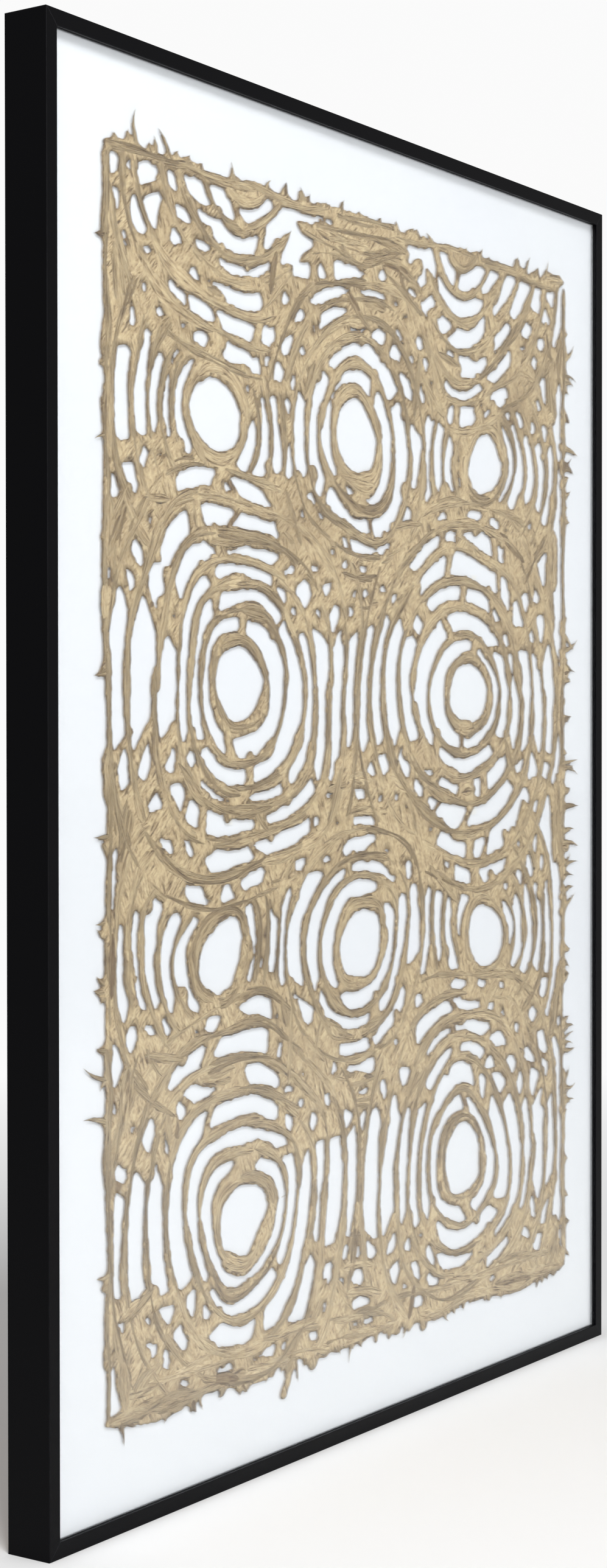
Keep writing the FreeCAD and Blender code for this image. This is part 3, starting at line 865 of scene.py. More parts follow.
    def links(self, centre: Centre) -> None:
        """Join neighbouring rings with short links, staggered from gap to gap.

        Args:
            centre: The rings' centre.
        """
        rng = self.rng
        for number in range(centre.rings - 1):
            radius = centre.radius(number + 0.5)
            turn = rng.uniform(0, 2 * math.pi)
            stop = turn + 2 * math.pi
            while turn < stop:
                spot = centre.place(radius, np.array([turn]))
                gap = self.spacing(centre, spot[0], number)
                if not gap or not self.allowed(centre, spot, radius)[0]:
                    turn += 6 / radius
                    continue
                lean = rng.uniform(-0.75, 0.75) * centre.pitch / radius
                turns = np.linspace(turn - lean, turn + lean, 10)
                radii = np.linspace(centre.radius(number) - 1, centre.radius(number + 1) + 1, 10)
                half = rng.uniform(2.6, 4.6) if gap > 50 else rng.uniform(3.2, 6.2)
                self.lay(centre.place(radii, turns), np.full(10, half), True)
                turn += gap * rng.uniform(0.72, 1.35) / radius

    def knots(self) -> None:
        """Lay broad strips where two sets of rings meet, at the top and at the sheet's sides."""
        rng = self.rng
        for centre in self.centres:
            for other in self.centres:
                if centre.kind is not RingKind.PAIR or abs(abs(other.z - centre.z) - self.row_pitch) > 1:
                    continue
                if rng.uniform() < self.no_knot:
                    continue
                away = np.array([other.x - centre.x, other.z - centre.z])
                length = float(np.linalg.norm(away))
                if length > self.knot_reach:
                    continue
                away /= length
                along = np.array([-away[1], away[0]])
                share = rng.permutation([0.44, 0.50, 0.56, 0.62])[0]
                middle = np.array([centre.x, centre.z]) + away * length * share
                middle = middle + along * rng.uniform(-40, 40)
                arm = along * rng.uniform(14, 30)
                self.line(middle - arm, middle + arm, rng.uniform(4.5, 8.0))
        for _ in range(7):
            x, z = self.shift + rng.uniform(-70, 70), self.high - rng.uniform(14, 40)
            lean, arm = rng.uniform(-7, 7), rng.uniform(22, 46)
            self.line((x - arm, z - lean), (x + arm, z + lean), rng.uniform(5.0, 8.0))
        for row in range(self.rows):
            z = self.middle + (2 - row) * self.row_pitch
            for way in (-1, 1):
                for _ in range(3):
                    x, up = way * rng.uniform(350, 374), z + rng.uniform(-30, 30)
                    lean, arm = rng.uniform(-16, 16), rng.uniform(18, 44)
                    self.line((x - lean, up - arm), (x + lean, up + arm), rng.uniform(5.5, 9.0))

    def borders(self) -> None:
        """Lay the strips round the edge of the sheet."""
        rng = self.rng
        wide, low, high = self.half_width, self.low, self.high
        runs = [
            ((9 - wide, low + 8), (9 - wide, high - 8), 3.6),
            ((wide - 8, low + 8), (wide - 8, high - 8), 3.6),
            ((6 - wide, high - 8), (wide - 6, high - 8), 4.6),
            ((6 - wide, low + 10), (wide - 6, low + 10), 8.5),
            ((30 - wide, low + 30), (wide - 30, low + 30), 5.5),
        ]
        for start, end, half in runs:
            first, last = np.array(start), np.array(end)
            length = float(np.linalg.norm(last - first))
            normal = np.array([first[1] - last[1], last[0] - first[0]]) / length
            at = 0.0
            while at < length:
                part = rng.uniform(90, 190)
                along = np.arange(max(at - 12, 0), min(at + part + 12, length), self.step)
                at += part
                if len(along) > 6:
                    stray = 2.0 * smooth_noise(rng, len(along), len(along) / 12)
                    points = first + (last - first) * (along / length)[:, None] + normal * stray[:, None]
                    self.lay(points, np.full(len(along), half), inner=False)

    def mend(self) -> None:
        """Lay short strips over whatever the rings have left bare."""
        rng = self.rng
        for _ in range(2):
            web = WebField(self, 4.0)
            bare = web.blur((web.depth < -2).astype(float), 9.0)
            x, z = web.across[None, :], web.up[:, None]
            inside = (np.abs(x) < self.half_width - 14) & (z > self.low + 14) & (z < self.high - 14)
            for centre in self.centres:
                inside = inside & (np.hypot(x - centre.x, z - centre.z) > 60)
            bare = np.where(inside, bare, 0)
            for _ in range(60):
                row, place = np.unravel_index(int(bare.argmax()), bare.shape)
                if bare[row, place] < 0.93:
                    break
                spot = np.array([web.across[place], web.up[row]])
                near = min(self.centres, key=lambda c: math.hypot(spot[0] - c.x, spot[1] - c.z) / c.reach)
                lean = math.atan2(spot[1] - near.z, spot[0] - near.x) + math.pi / 2 + rng.uniform(-0.5, 0.5)
                arm = np.array([math.cos(lean), math.sin(lean)]) * rng.uniform(24, 44)
                self.line(spot - arm, spot + arm, rng.uniform(3.5, 5.5), 4.0)
                bare[np.hypot(x - spot[0], z - spot[1]) < 30] = 0

    def twine(self) -> None:
        """Lay narrow strands along the long strips, each wandering from side to side."""
        rng = self.rng
        for strip in self.strips:
            count = len(strip.points)
            if strip.fused or count < 14 or strip.half.mean() < 2.4:
                continue
            normal = course_of(strip.points)[1]
            for side in (-1, 1):
                first = int(rng.uniform(0, 0.3) * count)
                part = np.s_[first:first + max(int(rng.uniform(0.45, 1.0) * count), 10):2]
                sway = np.cos(rng.uniform(-0.7, 0.7) + np.arange(count) * self.step / rng.uniform(24, 60))
                points = strip.points + normal * (0.52 * side * strip.half * sway)[:, None]
                tone = np.clip(strip.tone + rng.uniform(-0.3, 0.15), 0.15, 1)
                self.strands.append(Strip(points[part], 0.40 * strip.half[part] + 0.3, tone, strip.lift))

    def patch(self, web: "WebField", wanted: int) -> None:
        """Lay short leaf-shaped patches where the web is solid.

        Args:
            web: The web so far.
            wanted: How many patches are tried.
        """
        rng = self.rng
        spots = np.concatenate([strip.points[1:] for strip in self.strips])
        ways = np.concatenate([np.diff(strip.points, axis=0) for strip in self.strips])
        ways = ways / np.linalg.norm(ways, axis=1)[:, None]
        solid = web.blur((web.height > 0).astype(float), 4.5)
        rows, places = np.nonzero(solid > 0.80)
        for pick in rng.choice(len(rows), wanted, replace=False):
            spot = np.array([web.across[places[pick]], web.up[rows[pick]]])
            way = ways[int(np.hypot(*(spots - spot).T).argmin())]
            lean = math.atan2(way[1], way[0]) + rng.normal(0, 0.06)
            arm = np.array([math.cos(lean), math.sin(lean)])
            wide = rng.uniform(3.6, 7.0)
            longest = rng.uniform(16, 44)
            reach = []
            for side in (-1, 1):
                far = 4.0
                while far < longest and web.solid_at(solid, spot + side * far * arm) > 0.74:
                    far += 2.0
                reach.append(far)
            if sum(reach) < 16:
                continue
            count = max(int(sum(reach) / 2.2), 8)
            along = np.linspace(-reach[0], reach[1], count)
            normal = np.array([-arm[1], arm[0]])
            stray = 1.6 * smooth_noise(rng, count, 2)
            points = spot + along[:, None] * arm + stray[:, None] * normal
            profile = np.sin(np.linspace(0.08, math.pi - 0.08, count)) ** 0.38
            self.leaves.append(Strip(points, wide * profile, rng.uniform(), 0.5 + 0.5 * rng.uniform()))

    def fray(self) -> None:
        """Loose ends that stick out of the sheet's edge: many at the right, a few elsewhere."""
        rng = self.rng
        wide, low, high = self.half_width, self.low, self.high
        roots = []
        for level, count, spread in RIGHT_ENDS:
            for _ in range(count):
                up = level + rng.normal(0, spread / 2)
                roots.append((wide - 12, up, rng.uniform(-35, 35), rng.uniform(14, 27)))
        for level, length in LEFT_ENDS:
            roots.append((12 - wide, level, 180 + rng.uniform(-22, 22), length))
        for place, lean, length in TOP_ENDS:
            roots.append((place, high - 10, lean, length))
        for place in FOOT_ENDS:
            across = place + rng.uniform(-8, 8)
            roots.append((across, low + 12, -90 + rng.uniform(-30, 30), rng.uniform(7, 16)))
        for x, z, lean, length in roots:
            self.spike(np.array([x, z], float), math.radians(lean), length + 12, rng.uniform(2.2, 4.2))
        sides = ((wide, 1, 0, 44), (high, 0, 1, 40), (low, 0, -1, 44), (-wide, -1, 0, 16))
        for place, right, up, number in sides:
            self.tufts(place, right, up, number)
        for _ in range(26):
            strip = self.strips[int(rng.integers(len(self.strips)))]
            spot = strip.points[int(rng.integers(len(strip.points)))]
            self.spike(spot, rng.uniform(0, 2 * math.pi), rng.uniform(9, 20), rng.uniform(0.45, 0.8))

    def tufts(self, place: float, right: int, up: int, number: int) -> None:
        """Short broad tufts that make one side of the sheet ragged.

        Args:
            place: How far the side is from the middle, or how high it is.
            right: 1 at the right side, -1 at the left, and otherwise 0.
            up: 1 at the top, -1 at the foot, and otherwise 0.
            number: How many tufts there are.
        """
        rng = self.rng
        outward = math.atan2(up, right)
        for _ in range(number):
            if right:
                along = rng.uniform(self.low + 20, self.high - 20)
            else:
                along = rng.uniform(-1, 1) * (self.half_width - 20)
            level = place - 8 * (right + up)
            root = np.array([level, along] if right else [along, level])
            self.spike(root, outward + rng.uniform(-1.1, 1.1), rng.uniform(9, 19), rng.uniform(3.0, 6.5))

    def spike(self, root: np.ndarray, lean: float, length: float, half: float) -> None:
        """One loose end: wide at its root, drawn out to a curling point.

        Args:
            root: Where it starts.
            lean: Its direction in radians.
            length: Its length.
            half: Its half width at the root.
        """
        count = max(int(length / 1.6), 8)
        along = np.linspace(0, 1, count)
        curl = self.rng.uniform(-1.1, 1.1)
        heading = lean + curl * along**2
        pace = length / (count - 1)
        steps = np.stack([np.cos(heading), np.sin(heading)], 1) * pace
        points = root + np.concatenate([[[0.0, 0.0]], np.cumsum(steps[:-1], axis=0)])
        wide = half * (1 - along) ** 0.9 + 0.22
        self.whiskers.append(Strip(points, wide, self.rng.uniform(), 0.3))

    def build(self) -> None:
        """Lay every strip of the web."""
        for centre in self.centres:
            for number in range(centre.rings):
                self.ring(centre, number)
            self.links(centre)
        self.knots()
        self.borders()
        self.mend()
        self.fray()


class WebField:
    """The web as a height over a fine grid: above 0 where there is bark.

    Args:
        plan: The strips.
        step: The grid's spacing in millimetres.
    """

    margin = 34.0

    def __init__(self, plan: LacePlan, step: float) -> None:
        self.step = step
        self.across = np.arange(-plan.half_width - self.margin, plan.half_width + self.margin, step)
        self.up = np.arange(plan.low - self.margin, plan.high + self.margin, step)
        self.depth = np.full((len(self.up), len(self.across)), -50.0)
        for strip in plan.strips + plan.whiskers:
            for i in range(len(strip.points) - 1):
                self.paint(strip.points[i:i + 2], strip.half[i:i + 2])
        self.height = self.melt()

    def window(self, axis: np.ndarray, low: float, high: float) -> slice:
        """The part of an axis between two values."""
        first = max(int((low - axis[0]) / self.step), 0)
        return slice(first, max(int((high - axis[0]) / self.step) + 2, first))

    def paint(self, ends: np.ndarray, half: np.ndarray) -> None:
        """Raise the grid round one piece of a strip.

        Args:
            ends: Its two ends.
            half: Its half width at each.
        """
        reach = half.max() + 3
        columns = self.window(self.across, ends[:, 0].min() - reach, ends[:, 0].max() + reach)
        rows = self.window(self.up, ends[:, 1].min() - reach, ends[:, 1].max() + reach)
        x = self.across[columns][None, :] - ends[0, 0]
        z = self.up[rows][:, None] - ends[0, 1]
        way = ends[1] - ends[0]
        share = np.clip((x * way[0] + z * way[1]) / (way @ way + 1e-9), 0, 1)
        away = np.hypot(x - share * way[0], z - share * way[1])
        part = self.depth[rows, columns]
        np.maximum(part, half[0] + (half[1] - half[0]) * share - away, out=part)

    def blur(self, grid: np.ndarray, sigma: float) -> np.ndarray:
        """The grid smoothed by a bell of the given width in millimetres."""
        rows = np.fft.fftfreq(grid.shape[0])[:, None]
        columns = np.fft.rfftfreq(grid.shape[1])[None, :]
        bell = np.exp(-2 * (math.pi * sigma / self.step) ** 2 * (rows**2 + columns**2))
        return np.fft.irfft2(np.fft.rfft2(grid) * bell, s=grid.shape)

    def melt(self) -> np.ndarray:
        """The strips with their corners webbed and their narrow gaps closed."""
        solid = np.clip(self.depth / self.step + 0.5, 0, 1)
        edge = self.blur(solid, 1.3) - 0.48
        webbed = (self.blur(solid, 4.0) - 0.565) * 1.5
        return np.maximum(edge, webbed) + self.rough(1.5, 0.09) + self.rough(5.0, 0.04)

    def rough(self, size: float, height: float) -> np.ndarray:
        """An uneven grid, so that the bark's edges come out ragged.

        Args:
            size: How wide its bumps are, in millimetres.
            height: How high they are.

        Returns:
            The grid.
        """
        bumps = self.blur(np.random.default_rng(int(size * 10)).normal(size=self.depth.shape), size)
        return height * np.clip(bumps / bumps.std(), -1.6, 1.6)

    def solid_at(self, grid: np.ndarray, spot: np.ndarray) -> float:
        """A grid's value nearest to a spot."""
        row = min(max(int(round((spot[1] - self.up[0]) / self.step)), 0), grid.shape[0] - 1)
        place = min(max(int(round((spot[0] - self.across[0]) / self.step)), 0), grid.shape[1] - 1)
        return float(grid[row, place])


@dataclass(frozen=True)
class Bark(Finish):
    """Beaten bark paper: long fibres along each strip, painted shade in its creases and along its edges, a
    painted highlight on raised fibres, and smudges.

    The fibres follow the map "strand", whose first number runs along the strip in metres and whose second
    goes from -1 to 1 across it. The attribute "tone" sets strips apart, and its lowest values paint shade on
    the web's rim and side walls.

    Attributes:
        light: The colour of the raised fibres and wrinkles: their own paler tone, with a painted highlight.
        painted_crease_shade: The colour of the painted shade between fibres, in the folds of the wrinkles
            and at the strips' edges.
        smudge: The colour of grey-brown patches, and of the low parts of the relief, where it is painted
            shade.
        painted_edge_shade: What the colour of the web's side walls, at a tone of 0, is multiplied by:
            painted shade on the edges.
        matted: Whether the fibres lie every way, as in the web where strips have fused. The map isn't read
            then.
        fine: The fibres' noise: its pace along a strip to the metre, its pace across, and its detail.
        coarse: The same for the wrinkles.
        mat_scales: How fine the fused fibres and wrinkles are, to the metre.
        bump: The height of the relief in metres.
    """

    light: Colour = srgb(236, 214, 170)
    painted_crease_shade: Colour = srgb(88, 66, 46)
    smudge: Colour = srgb(154, 129, 93)
    painted_edge_shade: Colour = (0.34, 0.28, 0.23, 1.0)
    matted: bool = False
    fine: tuple[float, float, float] = (150.0, 22.0, 5.0)
    coarse: tuple[float, float, float] = (46.0, 3.6, 4.0)
    mat_scales: tuple[float, float] = (1500.0, 420.0)
    bump: float = 0.0009

    def dress(self, nodes: NodeTree, surface: Node, position: Socket) -> None:
        """Fibres, tones, painted shade in creases and at edges, a painted highlight on raised fibres, and
        smudges.
        """
        tone = nodes.add("ShaderNodeAttribute", attribute_name="tone").outputs["Fac"]
        if self.matted:
            fibres, wrinkles = (self.mat_of_fibres(nodes, position, scale) for scale in self.mat_scales)
            edge = 0.0
        else:
            strand = nodes.add("ShaderNodeUVMap", uv_map="strand")
            parts = nodes.add("ShaderNodeSeparateXYZ", {"Vector": strand.outputs["UV"]})
            along, across = parts.outputs["X"], parts.outputs["Y"]
            place = (along, across, nodes.math("MULTIPLY", tone, 61.0))
            fibres, wrinkles = (self.strands(nodes, place, *noise) for noise in (self.fine, self.coarse))
            # 1 along each strip's edges, where the painted edge shade goes.
            edge = nodes.math("MULTIPLY_ADD", nodes.math("ABSOLUTE", across), 7.0, -5.4, clamp=True)
        # The colour follows the relief's noises: raised fibres paler, low ones darker. This is partly the
        # fibres' own tone and partly painted highlight and shade.
        stops = [(0.41, self.smudge), (0.49, self.colour), (0.59, self.light)]
        mixed = nodes.math("MULTIPLY_ADD", wrinkles, 0.5, nodes.math("MULTIPLY", fibres, 0.5))
        colour = nodes.ramp(mixed, stops)
        # Dark lines where the fibres and wrinkles are low: painted shade in the creases and folds.
        lines = nodes.math("MULTIPLY_ADD", fibres, -9.0, 4.05, clamp=True)
        folds = nodes.math("MULTIPLY_ADD", wrinkles, -9.0, 3.75, clamp=True)
        dark = nodes.math("MAXIMUM", nodes.math("MULTIPLY", lines, 0.5), nodes.math("MULTIPLY", folds, 0.85))
        colour = nodes.blend(dark, colour, self.painted_crease_shade)
        # A dark line along each strip's edge, broken up by the wrinkles: painted edge shade.
        painted_edge_shade = nodes.math("MULTIPLY", edge, nodes.math("MULTIPLY_ADD", wrinkles, 5.0, -1.3, clamp=True))
        colour = nodes.blend(painted_edge_shade, colour, self.painted_crease_shade)

        cloud = SHELF.place(nodes, Effect.GRAIN, {"Position": position, "Scale": 60.0, "Stretch": 1.0})
        smudged = nodes.math("MULTIPLY_ADD", cloud.outputs["Cloud"], 4.0, -2.1, clamp=True)
        colour = nodes.blend(nodes.math("MULTIPLY", smudged, 0.5), colour, self.smudge)
        # The tone darkens the colour: at the lowest tones it is painted shade on the web's rim and walls,
        # above them it sets strips apart.
        shade = nodes.ramp(tone, [(0.0, self.painted_edge_shade), (0.25, (0.66, 0.64, 0.61, 1)), (0.9, (1, 1, 1, 1))])
        nodes.feed(surface.inputs["Base Color"], nodes.blend(1.0, colour, shade, "MULTIPLY"))
        height = nodes.math("MULTIPLY_ADD", wrinkles, 1.6, nodes.math("MULTIPLY", fibres, 0.6))
        self.relief(nodes, surface, height, self.bump)

    def mat_of_fibres(self, nodes: NodeTree, position: object, scale: float) -> Socket:
        """Fibres of fused bark: two sheets of drawn-out noise, one or the other on top.

        Args:
            nodes: The material's nodes.
            position: The place on the sheet.
            scale: How fine the fibres are, to the metre.

        Returns:
            The noise, about 0 to 1.
        """
        sheets = []
        for lean in (0.35, -0.75):
            place = nodes.add("ShaderNodeMapping", {"Vector": position, "Rotation": (0.0, lean, 0.0)})
            drawn = nodes.add("ShaderNodeMapping", {"Vector": place.outputs[0], "Scale": (1.0, 1.0, 0.14)})
            noise = nodes.add(
                "ShaderNodeTexNoise",
                {"Vector": drawn.outputs[0], "Scale": scale, "Detail": 4.0, "Distortion": 0.5},
            )
            sheets.append(noise.outputs["Fac"])
        patches = nodes.add("ShaderNodeTexNoise", {"Vector": position, "Scale": 38.0, "Detail": 2.0})
        upper = nodes.math("MULTIPLY_ADD", patches.outputs["Fac"], 9.0, -4.0, clamp=True)
        ahead = nodes.math("MULTIPLY", upper, sheets[0])
        behind = nodes.math("MULTIPLY", nodes.math("SUBTRACT", 1.0, upper), sheets[1])
        return nodes.math("ADD", ahead, behind)

    def strands(self, nodes: NodeTree, place: tuple, pace: float, finer: float, detail: float) -> Socket:
        """Noise drawn out along a strip.

        Args:
            nodes: The material's nodes.
            place: The place along the strip, the place across it, and a number that sets strips apart.
            pace: How quickly it changes along the strip, to the metre.
            finer: How quickly it changes across it.
            detail: The noise's detail.

        Returns:
            The noise, about 0 to 1.
        """
        along, across, depth = place
        drawn = {0: nodes.math("MULTIPLY", along, pace), 1: nodes.math("MULTIPLY", across, finer), 2: depth}
        spot = nodes.add("ShaderNodeCombineXYZ", drawn).outputs[0]
        noise = nodes.add("ShaderNodeTexNoise", {"Vector": spot, "Scale": 1.0, "Detail": detail})
        return noise.outputs["Fac"]


@dataclass
class MeshStock:
    """Vertices, faces and their bark attributes, gathered before they become one object."""

    points: list = field(default_factory=list)
    faces: list = field(default_factory=list)
    strand: list = field(default_factory=list)
    tone: list = field(default_factory=list)
    count: int = 0

    def add(self, points: np.ndarray, faces: list, strand: np.ndarray, tone: np.ndarray) -> None:
        """Add a patch of mesh.

        Args:
            points: Its vertices in millimetres.
            faces: Its faces, as lists of its own vertex numbers.
            strand: The fibre map at each vertex.
            tone: The tone at each vertex.
        """
        self.points.append(points * MM)
        self.faces += [[i + self.count for i in face] for face in faces]
        self.strand.append(strand)
        self.tone.append(tone)
        self.count += len(points)

    def piece(self, name: str, material: bpy.types.Material, painted_edge_shade: int = 0) -> bpy.types.Object:
        """Make the object.

        Args:
            name: Its name.
            material: Its finish.
            painted_edge_shade: How many of its last faces are side walls: flat, and with a tone of 0, which
                paints shade on them.

        Returns:
            The new object, riding on the root body.
        """
        mesh = bpy.data.meshes.new(name)
        mesh.from_pydata(np.concatenate(self.points).tolist(), [], self.faces)
        corners = np.empty(len(mesh.loops), np.int32)
        mesh.loops.foreach_get("vertex_index", corners)
        layer = mesh.uv_layers.new(name="strand")
        layer.data.foreach_set("uv", np.concatenate(self.strand)[corners].astype(np.float32).ravel())
        tones = np.concatenate(self.tone)[corners].astype(np.float32)
        # The side walls get a tone of 0: painted shade on the edges.
        tones[len(tones) - 4 * painted_edge_shade:] = 0.0
        mesh.attributes.new("tone", "FLOAT", "CORNER").data.foreach_set("value", tones)
        mesh.polygons.foreach_set("use_smooth", np.arange(len(self.faces)) < len(self.faces) - painted_edge_shade)
        mesh.materials.append(material)
        mesh.update()
        piece = bpy.data.objects.new(name, mesh)
        bpy.context.scene.collection.objects.link(piece)
        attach(piece, "root")
        return piece


@dataclass
class BarkLace:
    """The lace sheet: a web cut to its outline, and the strips, leaves and loose ends laid over it.

    Attributes:
        front: The depth of the web's front in millimetres.
        back: The depth of its back.
        rise: How far a strip's middle may stand out from the web.
        grid: The spacing of the web's grid.
        inner: Every how many grid points the web has a corner away from its edges.
        patches: How many leaf-shaped patches are tried.
        finish: The look of the strips.
    """

    front: float = -16.45
    back: float = -15.3
    rise: float = 0.8
    grid: float = 2.3
    inner: int = 3
    patches: int = 90
    finish: Bark = Bark("beaten_bark", srgb(213, 188, 146), 0.86, 0.18)

    def build(self) -> None:
        """Lay the strips, cut the web and make the pieces."""
        plan = LacePlan()
        plan.build()
        web = WebField(plan, self.grid)
        plan.patch(web, self.patches)
        plan.twine()
        LOG.info("lace planned: %d strips, %d strands", len(plan.strips), len(plan.strands))
        material = self.finish.material()
        matted = replace(self.finish, name="matted_bark", matted=True).material()
        stock, painted_edge_shade = self.sheet(web)
        sheet = stock.piece("lace_web", matted, painted_edge_shade)
        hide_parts("bark_lace")
        halfway = (plan.low + plan.high) / 2
        for name, upper in (("lace_strips_lower", False), ("lace_strips_upper", True)):
            stock = MeshStock()
            for strip in plan.strips:
                if (strip.points[0, 1] > halfway) == upper and not strip.fused:
                    self.ribbon(stock, strip, 0.0)
            stock.piece(name, material)
        for name, strips in (
            ("lace_strands", plan.strands), ("lace_leaves", plan.leaves), ("lace_loose_ends", plan.whiskers)
        ):
            stock = MeshStock()
            for strip in strips:
                self.ribbon(stock, strip, 0.25)
            stock.piece(name, material)
        LOG.info("lace built")

    def sheet(self, web: WebField) -> tuple[MeshStock, int]:
        """The web, cut along the line where its height is 0, with a front, a back and side walls along its
        ragged edges.

        Args:
            web: The web.

        Returns:
            Its mesh, and how many of its last faces are side walls, which get the painted edge shade.
        """
        points, edges = self.outline(web)
        rows, columns = np.nonzero(web.height[::self.inner, ::self.inner] > 0.2)
        inside = np.stack([web.across[self.inner * columns], web.up[self.inner * rows]], 1)
        places = [Vector(p) for p in np.concatenate([points, inside]).tolist()]
        found = geometry.delaunay_2d_cdt(places, edges.tolist(), [], 0, 1e-4)
        flat = np.array([tuple(v) for v in found[0]])
        faces = np.array(found[2])
        a, b, c = (flat[faces[:, i]] for i in range(3))
        turn = (b[:, 0] - a[:, 0]) * (c[:, 1] - a[:, 1]) - (b[:, 1] - a[:, 1]) * (c[:, 0] - a[:, 0])
        faces[turn < 0] = faces[turn < 0][:, ::-1]
        faces = faces[(np.abs(turn) > 1e-6) & (self.sample(web, (a + b + c) / 3) > 0)]
        used, numbers = np.unique(faces, return_inverse=True)
        flat, faces = flat[used], numbers.reshape(-1, 3)

        count = len(flat)
        sides = np.concatenate([faces[:, [0, 1]], faces[:, [1, 2]], faces[:, [2, 0]]])
        keys = sides[:, 0] * count + sides[:, 1]
        rim = sides[~np.isin(keys, sides[:, 1] * count + sides[:, 0])]
        walls = np.stack([rim[:, 0], rim[:, 0] + count, rim[:, 1] + count, rim[:, 1]], 1)

        height = self.sample(web, flat)
        uneven = 0.75 + 0.25 * np.sin(flat[:, 0] / 9) * np.cos(flat[:, 1] / 7)
        wave = 0.12 - 0.45 * np.clip(2.4 * height, 0, 1) * uneven
        body = np.zeros((2 * count, 3))
        body[:, 0], body[:, 2] = np.tile(flat[:, 0], 2), np.tile(flat[:, 1], 2)
        body[:count, 1], body[count:, 1] = self.front + wave, self.back
        strand = np.stack([body[:, 0] * MM, body[:, 2] / 5], 1)
        stock = MeshStock()
        both = faces.tolist() + (faces[:, ::-1] + count).tolist() + walls.tolist()
        # Darkest at the web's outline and on its thin parts: painted shade along the hole edges.
        tone = 0.04 + 0.70 * np.clip(3.2 * height, 0, 1)
        stock.add(body, both, strand, np.tile(tone, 2))
        LOG.info("web: %d triangles", 2 * len(faces) + 2 * len(walls))
        return stock, len(walls)

    def sample(self, web: WebField, points: np.ndarray) -> np.ndarray:
        """The web's height at points between the grid's."""
        across = (points[:, 0] - web.across[0]) / web.step
        up = (points[:, 1] - web.up[0]) / web.step
        i, j = np.floor(up).astype(int), np.floor(across).astype(int)
        f, g = up - i, across - j
        low = web.height[i, j] * (1 - g) + web.height[i, j + 1] * g
        high = web.height[i + 1, j] * (1 - g) + web.height[i + 1, j + 1] * g
        return low * (1 - f) + high * f

    def outline(self, web: WebField) -> tuple[np.ndarray, np.ndarray]:
        """The line where the web's height is 0, as points and the edges between them.

        Args:
            web: The web.

        Returns:
            The points, one row each, and pairs of their numbers.
        """
        height = web.height
        rows, columns = height.shape
        inside = height > 0
        numbers = np.full((2, rows, columns), -1)
        points = []
        for kind, (first, second) in enumerate(
            ((np.s_[:, :-1], np.s_[:, 1:]), (np.s_[:-1, :], np.s_[1:, :]))
        ):
            crossed = inside[first] != inside[second]
            i, j = np.nonzero(crossed)
            low, high = height[first][i, j], height[second][i, j]
            share = np.clip(low / (low - high), 0.03, 0.97) * web.step
            numbers[kind, i, j] = np.arange(len(i)) + sum(len(p) for p in points)
            x, z = web.across[j], web.up[i]
            points.append(np.stack([x + share, z], 1) if kind == 0 else np.stack([x, z + share], 1))
        bottom, top = numbers[0, :-1, :-1], numbers[0, 1:, :-1]
        left, right = numbers[1, :-1, :-1], numbers[1, :-1, 1:]
        sides = np.stack([bottom, right, top, left], -1).reshape(-1, 4)
        crossings = (sides >= 0).sum(1)
        pairs = sides[crossings == 2]
        plain = np.sort(pairs, axis=1)[:, 2:]
        corner = inside[:-1, :-1].reshape(-1)[crossings == 4]
        saddles = sides[crossings == 4]
        one = np.where(corner[:, None], saddles[:, [0, 1]], saddles[:, [0, 3]])
        two = np.where(corner[:, None], saddles[:, [2, 3]], saddles[:, [1, 2]])
        return np.concatenate(points), np.concatenate([plain, one, two])

    def ribbon(self, stock: MeshStock, strip: Strip, extra: float) -> None:
        """Lay one domed ribbon along a strip.

        Args:
            stock: Where its mesh goes.
            strip: The strip.
            extra: How much higher than usual it lies, in millimetres.
        """
        rng = np.random.default_rng(abs(int(strip.points[0, 0] * 977 + strip.points[0, 1] * 13)))
        count = len(strip.points)
        normal = course_of(strip.points)[1]
        length = np.concatenate([[0], np.cumsum(np.linalg.norm(np.diff(strip.points, axis=0), axis=1))])
        lift = 0.32 + 0.36 * strip.lift + 0.22 * smooth_noise(rng, count, length[-1] / 30)
        ends = np.minimum(length, length[-1] - length)
        settle = np.clip(ends / 9, 0, 1) ** 0.7
        crown = np.clip(self.rise * lift + extra * 0.4, 0.10, self.rise) * settle + 0.02
        wide = strip.half * (0.94 if extra else 0.90) * (0.25 + 0.75 * np.clip(ends / 12, 0, 1) ** 0.6)
        rows = []
        shares = (-1.0, -0.72, 0.0, 0.72, 1.0)
        for share, level in zip(shares, (0.0, 0.66, 1.0, 0.66, 0.0)):
            ragged = 1 + (0.12 * rng.uniform(-1, 1, count) if abs(share) == 1 else 0)
            flat = strip.points + normal * (wide * share * ragged)[:, None]
            depth = self.front + 0.12 - extra * 0.2 - crown * level
            rows.append(np.stack([flat[:, 0], depth, flat[:, 1]], 1))
        body = np.stack(rows, 1).reshape(-1, 3)
        faces = [list(range(5)), [5 * count - 1 - i for i in range(5)]]
        for i in range(0, 5 * (count - 1), 5):
            faces += [[i + j, i + j + 5, i + j + 6, i + j + 1] for j in range(4)]
            faces.append([i + 4, i + 9, i + 5, i])
        strand = np.stack([np.repeat(length * MM, 5), np.tile(shares, count)], 1)
        stock.add(body, faces, strand, np.full(len(body), strip.tone))


